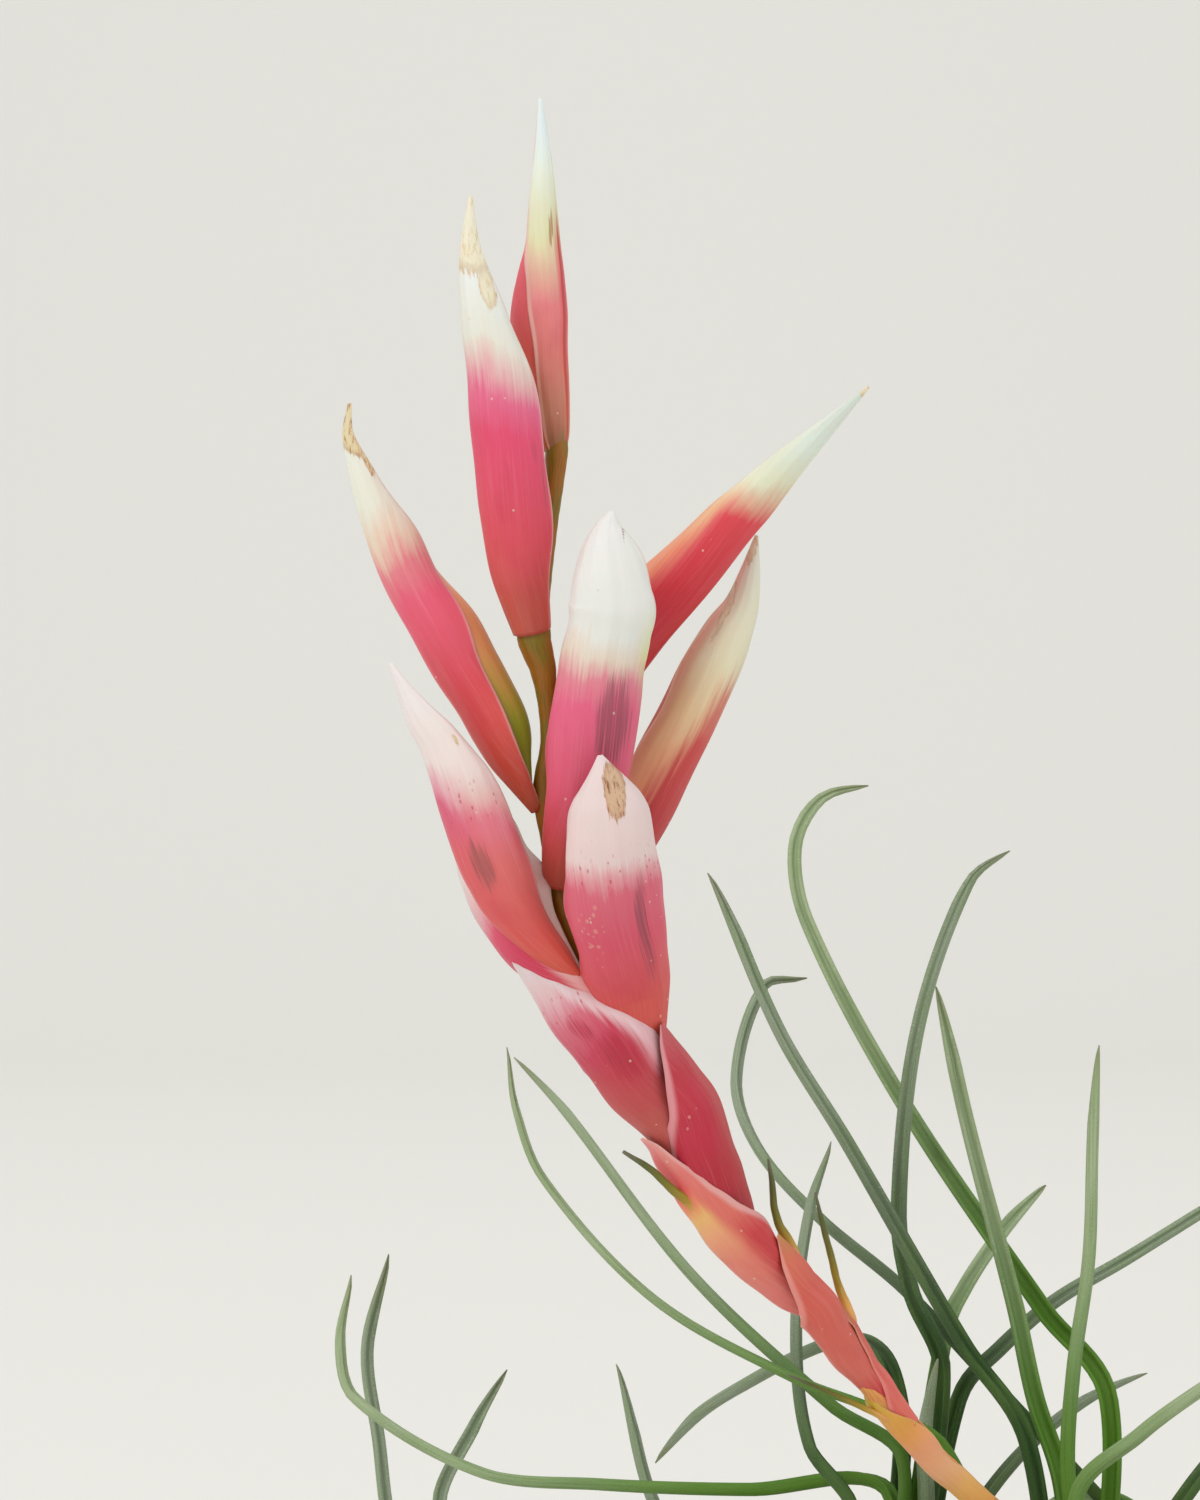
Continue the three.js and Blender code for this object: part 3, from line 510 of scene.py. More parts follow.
def tinted(colour, where, strength, shade):
    """A colour with a screen colour laid over it where `where` is 1, as strongly as `strength` says."""
    return mixed(times(where, strength), colour, paint(*shade))


def swing(pattern, width):
    """A pattern of clouds as a number that swings about 0."""
    return times(plus(pattern, -0.5), width)


leaf_finish, tree, surface = start_finish("scurfy leaf")
lie = kept(tree, "lie")
sheathed, _, tone = three(kept(tree, "marks"))
across, along, _ = three(kept(tree, "place"))
long_grain = clouds(lie, (7, 0.12, 1), 4)
cloud = clouds(lie, (0.5, 0.14, 1), 2)
scurf = add(tree, "TexNoise", {"Vector": lie, "Scale": 9.0, "Detail": 2.0}).outputs[0]
upward = between(along, 0.38, 0.84)
older = mixed(upward, paint(34, 72, 6), paint(146, 160, 134))
younger = mixed(upward, paint(78, 126, 10), paint(162, 180, 138))
colour = mixed(between(tone, 0.5, 0.8), older, younger)
colour = tinted(colour, between(cloud, 0.4, 0.65), 0.25, (110, 144, 64))
colour = tinted(colour, between(long_grain, 0.4, 0.7), 0.35, (58, 90, 22))
scurfy = times(between(scurf, 0.5, 0.68), plus(times(upward, 0.35), 0.06))
colour = mixed(scurfy, colour, paint(190, 200, 180))
colour = tinted(colour, between(along, 0.93, 1.0), 0.4, (128, 122, 88))
fibres = clouds(lie, (3, 0.16, 1), 6, 0.62)
husk = mixed(between(fibres, 0.34, 0.68), paint(104, 76, 52), paint(180, 154, 116))
husk = tinted(husk, between(along, 0.1, 0.02), 0.4, (84, 58, 40))
husk = tinted(husk, between(scurf, 0.48, 0.62), 0.55, (206, 196, 172))
husk = tinted(husk, between(reckon("ABSOLUTE", across), 0.75, 1.0), 0.55, (206, 184, 142))
colour = tinted(colour, between(sheathed, 0.1, 0.55), 0.8, (142, 138, 70))
colour = mixed(between(plus(sheathed, swing(fibres, 1.2)), 0.45, 0.9), colour, husk)
relief = plus(plus(long_grain, times(scurf, 0.5)), times(times(fibres, sheathed), 2.5))
coat(surface, colour, 0.62, relief, strength=0.5, depth=0.12)
surface.inputs["Specular IOR Level"].default_value = 0.35

leaf_number = 0
for name, middle in rosettes.items():
    leaves = []
    for rosette, degrees, blade, *looks in traced_leaves:
        if rosette == name:
            reach = math.hypot(blade[0][0] - middle[0], blade[0][1] - middle[1])
            leaves.append((math.atan2(blade[0][2] - sheath_top, reach), degrees, blade, None, looks))
    for rosette, degrees, rise, fall, length in arching_leaves:
        if rosette == name:
            leaves.append((math.radians(rise), degrees, None, (rise, fall, length), []))
    placed = []
    for steep, degrees, blade, arch, looks in sorted(leaves, key=lambda leaf: -leaf[0]):
        covered = [layer for other, layer in placed
                   if abs((degrees - other + 540) % 360 - 180) < 2 * sheath_spread + 6]
        layer = max([-1, *covered]) + 1
        placed.append((degrees, layer))
        radius = core_radius + seat_gap + leaf_wall + layer * (leaf_wall + leaf_gap)
        top = sheath_top - layer * sheath_step
        leaf_number += 1
        blade = blade or arching_blade(middle, degrees, radius, top, *arch)
        leaf = f"leaf_{leaf_number:02d}"
        slim = looks[0] if looks else 1
        tone = looks[1] if len(looks) > 1 else (leaf_number * 0.37) % 1
        mesh = leaf_mesh(leaf, middle, degrees, radius, top, blade, leaf_number, slim, tone)
        show(leaf + "_skin", mesh, leaf_finish, "leaf", leaf)


# Stem.
# The stem rises from the main rosette and carries every bract. Between the flowers it is bare, flattened
# and olive brown, turns a little at each node and swells where a bract is fastened.
stem_rows = [
    (0, 0, 8, 1.2), (-0.5, -0.2, 13, 1.2), (-3.2, -1.6, 18.5, 1.15), (-6, -3.1, 22.2, 1.15),
    (-9.5, -5, 25.5, 1.1), (-16.2, -10.5, 32.5, 0.95), (-20.3, -13.5, 37.7, 0.9), (-24.3, -15.8, 43.3, 0.95),
    (-30, -18, 49.5, 0.95), (-33.7, -19.2, 55.5, 0.95), (-37.5, -20, 61.5, 0.95), (-39.9, -20, 66, 1),
    (-41.8, -20, 69.6, 1), (-43.5, -20, 73.2, 1), (-44.8, -20, 76.2, 0.9), (-45.5, -20, 78.8, 0.85),
    (-46.2, -20, 82.5, 0.75), (-46.7, -20, 85.6, 0.85), (-46.7, -20, 87.4, 0.85), (-46.35, -20, 90.4, 0.65),
    (-46.4, -20, 93.5, 0.75), (-46.75, -20, 96.7, 1.1), (-47.5, -20, 99.4, 1.42), (-47.4, -20, 102, 1.2),
    (-46.8, -20, 105.4, 0.9), (-46.2, -20, 109.6, 0.8), (-45.75, -20, 113, 0.85), (-45.6, -20, 115.4, 0.95),
    (-45.7, -19.8, 117, 0.7),
]


def lit_through(surface, weight, *reach):
    """Lets light spread under a skin, so many millimetres far in red, green and blue."""
    feed(surface, {"Subsurface Weight": weight, "Subsurface Radius": [far * MM for far in reach],
                   "Subsurface Scale": 1.0})


stem_finish, tree, surface = start_finish("stem skin")
lie = kept(tree, "lie")
_, along, _ = three(kept(tree, "place"))
long_grain = clouds(lie, (6, 0.5, 6), 3)
patchy = between(clouds(lie, (0.8, 0.35, 0.8), 2), 0.35, 0.65)
lower = mixed(patchy, paint(234, 166, 84), paint(226, 142, 84))
upper = mixed(patchy, paint(160, 102, 12), paint(134, 112, 16))
colour = mixed(between(along, 0.3, 0.5), lower, upper)
colour = tinted(colour, between(long_grain, 0.45, 0.7), 0.3, (96, 62, 14))
coat(surface, colour, 0.5, long_grain, strength=0.4, depth=0.15)
lit_through(surface, 0.1, 0.8, 0.4, 0.2)
stem = rod("stem", stem_rows, sides=28, rings=260, seed=2, wobble=0.015)
show("stem", stem, stem_finish, "scape", "scape")


# Flowers.
# Each floral bract holds one flower that is still closed: three smooth sepals rolled over each other into a
# spindle, orange below and cream above, with the overlap showing as a long crease on the open side.
def along_bract(stations, part):
    """Values given at a few places along a bract, with a smooth curve through them."""
    stations = np.array(stations, float)
    places, values = stations[:, 0], stations[:, 1:]
    return smooth(places, values, np.gradient(values, places, axis=0), part)


def bract_fit(bract, part, across):
    """The section of a bract at parts of its length. The half widths in its rows are those of its outline
    seen from the front, or where it is `round` they are the radius of the stem that it wraps. `keel` is the
    side of its midrib in degrees, and `edges` are the turns from there to its two margins."""
    at, length = curve_through(bract["rows"])
    row = at(part)
    direction = heading(at, part)
    front = square_to(direction, np.array([0.0, -1, 0]))
    left = np.cross(front, direction)
    turn = np.radians(along_bract(bract["keel"], part))
    edges = np.radians(along_bract(bract["edges"], part))
    u = np.linspace(-1, 1, across)
    theta = np.where(u < 0, u * edges[:, :1], u * edges[:, 1:])
    deep = bract.get("deep", 1)
    toward_left = deep * np.cos(theta) * np.sin(turn) + np.sin(theta) * np.cos(turn)
    most, least = toward_left.max(1), toward_left.min(1)
    if bract.get("round"):
        most, least = np.ones(len(part)), -np.ones(len(part))
    radius = 2 * row[:, 3] / np.maximum(most - least, 0.8)
    return SimpleNamespace(centre=row[:, :3] - left * (radius * (most + least) / 2)[:, None],
                           keel=front * np.cos(turn) + left * np.sin(turn),
                           side=-front * np.sin(turn) + left * np.cos(turn),
                           radius=radius, theta=theta, u=u, deep=deep, length=length, left=left,
                           direction=direction, tuck=1 - bract.get("tuck", 0) * eased((-u - 0.8) / 0.2))


floral_bracts = [
    {"rows": [(-45.7, -19.9, 115, 0.95), (-45.9, -19.8, 116.2, 1.35), (-46.3, -19.7, 118.8, 1.8),
       (-46.9, -19.4, 122.5, 2.25), (-47.1, -19.2, 126.3, 2.38), (-46.9, -19.2, 129.7, 1.96),
       (-46.8, -19.2, 132.3, 1.5), (-46.8, -19.2, 135.9, 1.17), (-46.8, -19.2, 140.1, 0.67),
       (-47, -19.2, 144.4, 0.17)], "keel": [(0, -60), (1, -60)],
     "edges": [(0, 260, 96), (0.13, 288, 84), (0.3, 292, 73), (0.45, 276, 92), (0.58, 240, 120),
       (0.75, 180, 150), (1, 100, 120)], "tuck": 0.12, "bud": (0.08, 0.6, 0.0, 0.8, -40)},
    {"rows": [(-47.7, -20.1, 99.9, 1.58), (-48.2, -20.8, 102.5, 2.08), (-48.7, -22, 105.8, 2.66),
       (-49, -22.9, 109.9, 2.98), (-49.4, -23.5, 113.6, 3.02), (-49.9, -23.8, 117.7, 2.89),
       (-50.5, -24, 121.6, 2.56), (-51.5, -24, 125.5, 1.98), (-52.3, -24, 128.8, 1.36),
       (-52.7, -24, 131.7, 0.83), (-52.7, -24, 135.7, 0.17)], "keel": [(0, 50), (1, 35)],
     "edges": [(0, 150, 150), (0.25, 118, 118), (0.6, 112, 112), (1, 85, 85)],
     "bud": (0.1, 0.8, 0.3, 0.85, 0)},
    {"rows": [(-46.1, -19.6, 88.8, 1.1), (-44.3, -19.5, 91.7, 1.84), (-42.2, -19.2, 95.7, 2.59),
       (-39.6, -19, 99.6, 2.85), (-36.3, -18.8, 103, 2.55), (-33.5, -18.6, 106.1, 2.36),
       (-30.9, -18.4, 109.2, 2.17), (-29.1, -18.2, 111, 1.93), (-27.3, -18.1, 112.8, 1.58),
       (-24.4, -18, 115.7, 1.05), (-21.7, -18, 118.3, 0.53), (-19.5, -18, 120.4, 0.12)],
     "keel": [(0, -75), (1, -70)],
     "edges": [(0, 150, 150), (0.2, 112, 122), (0.6, 108, 124), (0.75, 104, 112), (1, 85, 85)],
     "bud": (0.1, 0.8, 0.45, 0.95, 20)},
    {"rows": [(-47.3, -20.2, 85, 0.5), (-47.95, -20.5, 86.1, 0.75), (-48.9, -20.6, 87.7, 1.12),
       (-49.95, -20.5, 89.4, 1.45), (-51.1, -20.3, 91.6, 1.7), (-52.2, -20.1, 93.8, 1.85),
       (-53.8, -19.9, 96.7, 2.08), (-55.4, -19.7, 100.1, 2.36), (-57.5, -19.5, 103.8, 2.36),
       (-59, -19.5, 106.9, 2.21), (-60.7, -19.5, 110.4, 1.59), (-61.9, -19.5, 113.2, 1.08),
       (-63, -19.5, 116.3, 0.5), (-62.9, -19.5, 118.9, 0.17)], "keel": [(0, 70), (1, 65)],
     "edges": [(0, 120, 150), (0.12, 88, 112), (0.3, 95, 108), (0.45, 112, 106), (0.6, 140, 106),
       (0.8, 120, 100), (1, 85, 85)], "bud": (0.05, 0.8, 0.45, 0.97, -20)},
    {"rows": [(-43.9, -18.9, 75.3, 1.1), (-41.7, -17.8, 78.9, 1.84), (-39.3, -17, 83.1, 2.35),
       (-36.9, -16.4, 88.3, 2.6), (-34.3, -15.8, 93.5, 2.52), (-32.7, -15.4, 96.9, 2.44),
       (-31.3, -15.2, 99.8, 2.11), (-30.1, -15.1, 102.1, 1.52), (-29.4, -15, 104.8, 0.93),
       (-28.8, -15, 108.1, 0.17)], "keel": [(0, -100), (1, -105)],
     "edges": [(0, 150, 150), (0.15, 190, 170), (0.5, 200, 176), (0.8, 196, 172), (1, 180, 170)],
     "tuck": 0.12, "bud": (0.1, 0.8, 0.0, 0.75, 8)},
    {"rows": [(-45.4, -20.6, 78.8, 1.42), (-44.6, -22, 82.1, 2.24), (-43.4, -24, 86.3, 3.14),
       (-42.7, -25.2, 90.8, 3.63), (-42.2, -25.9, 94.5, 3.6), (-41.75, -26.3, 97.4, 3.45),
       (-41.25, -26.6, 99.9, 3.44), (-40.95, -26.8, 101.6, 3.7), (-41, -27, 103, 3.38),
       (-41.12, -27.1, 105, 2.85), (-41.3, -27.2, 106.8, 2.1), (-41.3, -27.2, 108.3, 1.15),
       (-41, -27.3, 109.6, 0.17)], "keel": [(0, -25), (1, 10)],
     "edges": [(0, 150, 150), (0.2, 120, 120), (0.6, 106, 108), (0.72, 84, 104), (0.85, 82, 96), (1, 70, 80)],
     "deep": 0.82, "bud": (0.12, 0.8, 0.3, 0.85, 0)},
    {"rows": [(-43.8, -22.2, 71.2, 0.5), (-45.4, -22.5, 72.6, 1.2), (-47.8, -23, 75.3, 1.92),
       (-49.55, -23.4, 77.7, 2.48), (-50.4, -23.7, 79.9, 2.81), (-51.6, -23.9, 82.9, 2.89),
       (-52.7, -24, 85.6, 2.68), (-53.7, -24.1, 87.9, 2.39), (-55.2, -24.1, 90.7, 1.82),
       (-56.8, -24.1, 92.7, 1.28), (-58, -24.1, 94.7, 0.74), (-59.3, -24.1, 97.2, 0.17)],
     "keel": [(0, 45), (1, 40)],
     "edges": [(0, 140, 140), (0.2, 114, 112), (0.6, 110, 108), (0.8, 92, 100), (1, 70, 80)], "deep": 0.9,
     "bud": (0.12, 0.78, 0.3, 0.85, 0)},
    {"rows": [(-38.5, -20, 65.4, 1.75), (-38.7, -20.3, 67.4, 2.4), (-39.4, -20.9, 70.4, 3.35),
       (-40.4, -24.3, 75.2, 3.91), (-40.9, -26.8, 78.9, 3.98), (-41.15, -28.3, 82.2, 3.7),
       (-41.3, -29.1, 84.9, 3.24), (-41.42, -29.4, 86.2, 2.74), (-41.58, -29.7, 87.3, 1.98),
       (-41.78, -29.9, 88.4, 1.1), (-42, -30.1, 89.6, 0.2)], "keel": [(0, -30), (1, 0)],
     "edges": [(0, 140, 140), (0.2, 116, 116), (0.6, 104, 106), (0.85, 98, 106), (1, 80, 90)], "deep": 0.75,
     "bud": (0.15, 0.7, 0.25, 0.85, 0)},
    {"rows": [(-42.2, -20.9, 69, 1.35), (-44.4, -20.5, 71.1, 2.2), (-46.6, -19.8, 73.4, 3),
       (-48.9, -18.6, 76.8, 3.5), (-50.6, -17.4, 80.1, 3.3), (-51.9, -16.6, 83.3, 2.5),
       (-53.3, -16.1, 85.8, 1.43), (-54.3, -16.1, 87.8, 0.25)], "keel": [(0, 120), (1, 110)],
     "edges": [(0, 155, 130), (0.3, 155, 106), (0.8, 160, 100), (1, 100, 85)], "deep": 0.85,
     "bud": (0.15, 0.7, 0.0, 0.6, 0)},
]


def flower_mesh(name, bract, seed):
    """A closed flower: `bud` gives where it starts and ends along the bract, how far it leans out of the
    fold, how full it fills the fold, and the side of its crease, in degrees from the open side's middle."""
    start, end, lean, fill, crease_side = bract["bud"]
    rings, around = 90, 48
    w = np.linspace(0, 1, rings)
    fit = bract_fit(bract, start + (end - start) * w, 41)
    belly = np.sin(np.pi * (0.1 + 0.9 * w)) ** 0.45
    belly[-1] = 0.05
    room = fit.radius * min(1, fit.deep) - 0.3
    radius = np.maximum(room * fill * belly, 0.05)
    middle = fit.centre - fit.keel * (lean * radius * 0.35)[:, None]
    turn = np.linspace(0, 2 * np.pi, around, endpoint=False)
    from_crease = np.angle(np.exp(1j * (turn - np.pi - math.radians(crease_side))))[None]
    from_crease = from_crease - 0.25 * np.sin(3 * w)[:, None]
    step = 0.07 * eased(from_crease / 0.12 + 0.5) - 0.07 * eased((from_crease - 1.6) / 1.2 + 0.5)
    crease = step - 0.05 * np.exp(-(from_crease / 0.1) ** 2)
    reach = radius[:, None] * (1 + crease * np.sin(np.pi * np.clip(w, 0, 1))[:, None] ** 0.5)
    place = at_points(reach.shape, turn / np.pi - 1, w[:, None], from_crease)
    lie = at_points(reach.shape, (turn - np.pi) * radius[:, None], w[:, None] * fit.length * (end - start),
                    seed * 5.0)
    return skin(name, points_round(middle, fit.keel, fit.side, turn, reach), {"place": place, "lie": lie})


def ramp(factor, stops):
    """A run of screen colours, each at its place from 0 to 1."""
    node = add(factor.id_data, "ValToRGB", {0: factor})
    run = node.color_ramp
    while len(run.elements) < len(stops):
        run.elements.new(0.5)
    for element, (position, *shade) in zip(run.elements, stops):
        element.position = position
        element.color = paint(*shade)
    return node.outputs[0]


def flower_finish(name, stops):
    finish, tree, surface = start_finish(name)
    _, along, from_crease = three(kept(tree, "place"))
    streaks = clouds(kept(tree, "lie"), (3, 0.15, 1), 3)
    colour = ramp(plus(along, swing(streaks, 0.22)), stops)
    crease = between(reckon("ABSOLUTE", from_crease), 0.16, 0.0)
    colour = tinted(colour, crease, 0.35, (176, 84, 60))
    coat(surface, colour, 0.45, streaks, strength=0.3, depth=0.1)
    lit_through(surface, 0.15, 1.0, 0.5, 0.3)
    return finish


flower_colours = {
    1: [(0, 196, 110, 60), (0.5, 226, 130, 76), (1, 228, 200, 150)],
    3: [(0, 220, 108, 82), (0.3, 236, 142, 110), (0.64, 240, 164, 128), (0.8, 234, 196, 150),
        (1, 228, 230, 205)],
    4: [(0, 138, 146, 22), (0.18, 148, 154, 30), (0.28, 184, 148, 54), (0.42, 218, 146, 88),
        (0.62, 234, 158, 116), (1, 240, 220, 184)],
    5: [(0, 206, 118, 84), (0.2, 222, 134, 100), (0.45, 224, 156, 116), (0.6, 224, 188, 146),
        (0.75, 226, 214, 184), (1, 224, 222, 204)],
}
plain_flower = [(0, 200, 96, 60), (0.4, 220, 130, 92), (0.7, 224, 196, 150), (1, 226, 224, 204)]
for i, bract in enumerate(floral_bracts, 1):
    finish = flower_finish(f"sepal {i}", flower_colours.get(i, plain_flower))
    show(f"flower_{i}", flower_mesh(f"flower_{i}", bract, i), finish, "sepal", f"flower_bud_{i}")


# Floral bracts.
# The showy part of the spike: nine stiff leathery bracts in two ranks, folded lengthwise like small boats.
# They are red to pink below, turn cream in streaks above the middle, and dry to brown at the tips.
BRUISE, DRY, WARTS = 0, 1, 2


def bract_mesh(name, bract, seed, wall, rings):
    """A bract as a folded skin. Its marks are spots seen from the front, each with its kind, its x and z, its
    half length, its half width and its strength."""
    part = np.linspace(0, 1, rings)
    fit = bract_fit(bract, part, 65)
    u, theta, radius = fit.u, fit.theta, fit.radius[:, None]
    along = np.broadcast_to(part[:, None], theta.shape)
    veins = 0.018 * np.cos(theta * 13) * np.minimum(1, radius / 1.5)
    wave = 0.012 * np.sin(along * 17 + seed) * np.sin(theta * 1.5 + seed)
    wave = wave + 0.01 * np.sin(along * 31 + 2 * seed + theta)
    ridge = 0.03 * np.exp(-(theta / 0.16) ** 2) * eased((along - 0.3) / 0.4)
    flare = np.exp(-((1 - np.abs(u)) / 0.12) ** 2) * 0.05 * radius * np.sin(along * 23 + seed)
    radius_side = radius * (fit.tuck + wave) + veins + flare
    radius_keel = radius * fit.deep * (fit.tuck + wave + ridge) + veins + flare
    thin = np.clip((1 - part) * fit.length / 8, 0.25, 1)[:, None]
    thickness = wall * thin * (0.3 + 0.7 * np.sqrt(1 - 0.98 * np.abs(u) ** 6))
    place = at_points(theta.shape, u, along, 0)
    lie = at_points(theta.shape, theta * radius, along * fit.length, seed * 9.0)
    points = points_round(fit.centre, fit.keel, fit.side, theta, radius_keel, radius_side)
    marks = np.zeros(points.shape)
    facing = points[:, :, 1] - fit.centre[:, 1:2] < 0.2
    for kind, x, z, long_way, wide_way, strength in bract.get("marks", []):
        away = points - np.array([x, 0, z])
        away[:, :, 1] = 0
        down = (away * fit.direction[:, None]).sum(2) / long_way
        over = (away * fit.left[:, None]).sum(2) / wide_way
        spot = strength * np.exp(-(down ** 2 + over ** 2) ** 1.5) * facing
        marks[:, :, kind] = np.maximum(marks[:, :, kind], spot)
    return folded(name, fit.centre, fit.keel, fit.side, theta, radius_side, radius_keel, thickness, place,
                  lie, marks, 0.3)


inner_face = [
    (0, 206, 90, 84), (0.45, 222, 120, 120), (0.62, 226, 170, 140), (0.75, 206, 192, 140),
    (0.9, 226, 222, 200), (1, 214, 196, 160),
]


def cells(place, scale):
    """Scattered cells: how far a point is from the middle of its cell, and a number that each cell draws."""
    cell = add(place.id_data, "TexVoronoi", {"Vector": place, "Scale": scale, "Randomness": 1.0})
    drawn = add(place.id_data, "SeparateColor", {0: cell.outputs["Color"]}).outputs[0]
    return cell.outputs["Distance"], drawn


def bract_finish(name, stops, slant=0.0, streak=0.1, edge=(232, 196, 190), flank=None, dots=0.12,
                 rim=(0.93, 0.985, 0.55), one_rim=False, ridge=None, bruise=(140, 70, 84),
                 dry=((238, 226, 196), (220, 196, 156), (168, 124, 78)), freckled=None):
    """The skin of a bract: `stops` are its colours from base to tip, `slant` how the bands tilt from one
    margin to the other, `streak` how far they run into each other, and `flank` the colours that one side
    turns to, with the margin that it is nearest to, how far up the change leans, where it starts and ends.
    `rim` says where the pale margin starts, where it is full and how strong it is, `edge` is its colour,
    `one_rim` says that only the left margin is pale, and `ridge` is the colour of a line along the keel.
    `bruise` is the colour of bruised skin, and `dry` those of withered skin, of its flecks and of its edge.
    `dots` is the share of pale pores, and `freckled` the height at which crimson specks lie scattered."""
    finish, tree, surface = start_finish(name)
    lie = kept(tree, "lie")
    u, v, inside = three(kept(tree, "place"))
    bruised, dried, warty = three(kept(tree, "marks"))
    streaks = clouds(lie, (3.2, 0.1, 1), 4, 0.6)
    cloud = clouds(lie, (0.42, 0.2, 1), 3)
    fine = clouds(lie, (8, 0.12, 1), 2)
    shift = plus(plus(swing(streaks, streak * 2), swing(cloud, 0.1)), times(u, slant))
    banded = plus(v, shift)
    colour = ramp(banded, stops)
    if flank:
        margin, lean, start, end, flank_stops = flank
        place_across = plus(plus(times(u, margin), times(banded, lean)), swing(streaks, 0.2))
        colour = mixed(between(place_across, start, end), colour, ramp(banded, flank_stops))
    flushed = times(times(between(cloud, 0.5, 0.72), 0.2), between(banded, 0.62, 0.4))
    colour = mixed(flushed, colour, paint(196, 50, 66))
    colour = tinted(colour, between(fine, 0.5, 0.75), 0.07, (244, 214, 206))
    from_keel = reckon("ABSOLUTE", u)
    colour = tinted(colour, between(u if one_rim else from_keel, rim[0], rim[1]), rim[2], edge)
    if ridge:
        line = times(between(from_keel, 0.07, 0.02), between(banded, 0.72, 0.6))
        colour = tinted(colour, line, 0.9, ridge)
    colour = mixed(inside, colour, ramp(banded, inner_face))
    brushed = plus(swing(streaks, 1.8), swing(fine, 1.6))
    blotch = times(between(plus(bruised, brushed), 0.2, 1.0), between(bruised, 0.03, 0.4))
    colour = tinted(colour, blotch, 0.7, bruise)
    scratched = times(between(fine, 0.55, 0.66), between(bruised, 0.35, 0.7))
    colour = tinted(colour, scratched, 0.45, (120, 62, 52))
    mottle = clouds(lie, (3.4, 0.7, 1), 6, 0.75)
    ragged = plus(dried, swing(mottle, 1.3))
    parched = times(between(ragged, 0.3, 0.5), between(dried, 0.1, 0.3))
    papery = mixed(between(mottle, 0.5, 0.6), paint(*dry[0]), paint(*dry[1]))
    colour = mixed(parched, colour, papery)
    colour = tinted(colour, times(parched, between(ragged, 0.75, 0.4)), 0.4, dry[2])
    if freckled:
        away, drawn = cells(stretched(lie, (2.6, 1.5, 1)), 1.0)
        speck = times(between(away, 0.34, 0.16), between(drawn, 0.55, 0.6))
        above = between(v, freckled - 0.07, freckled - 0.01)
        below = between(v, freckled + 0.1, freckled + 0.02)
        colour = tinted(colour, times(speck, times(above, below)), 0.6, (188, 56, 84))
    away, drawn = cells(lie, 0.9)
    pore = times(between(away, 0.13, 0.07), between(drawn, 1 - dots, 1.02 - dots))
    colour = tinted(colour, pore, 0.55, (244, 214, 196))
    away, drawn = cells(lie, 1.5)
    wart = times(between(away, 0.36, 0.2), between(warty, 0.2, 0.6))
    wart = reckon("MAXIMUM", wart, between(warty, 0.8, 0.92))
    colour = tinted(colour, wart, 0.45, (240, 176, 156))
    rough = add(tree, "MapRange", {"Value": fine, "To Min": 0.36, "To Max": 0.56}).outputs[0]
    relief = plus(plus(times(fine, 0.6), times(pore, 0.8)), times(wart, 1.2))
    coat(surface, colour, rough, relief, strength=0.45, depth=0.12)
    lit_through(surface, 0.18, 1.2, 0.5, 0.4)
    surface.inputs["Specular IOR Level"].default_value = 0.4
    return finish


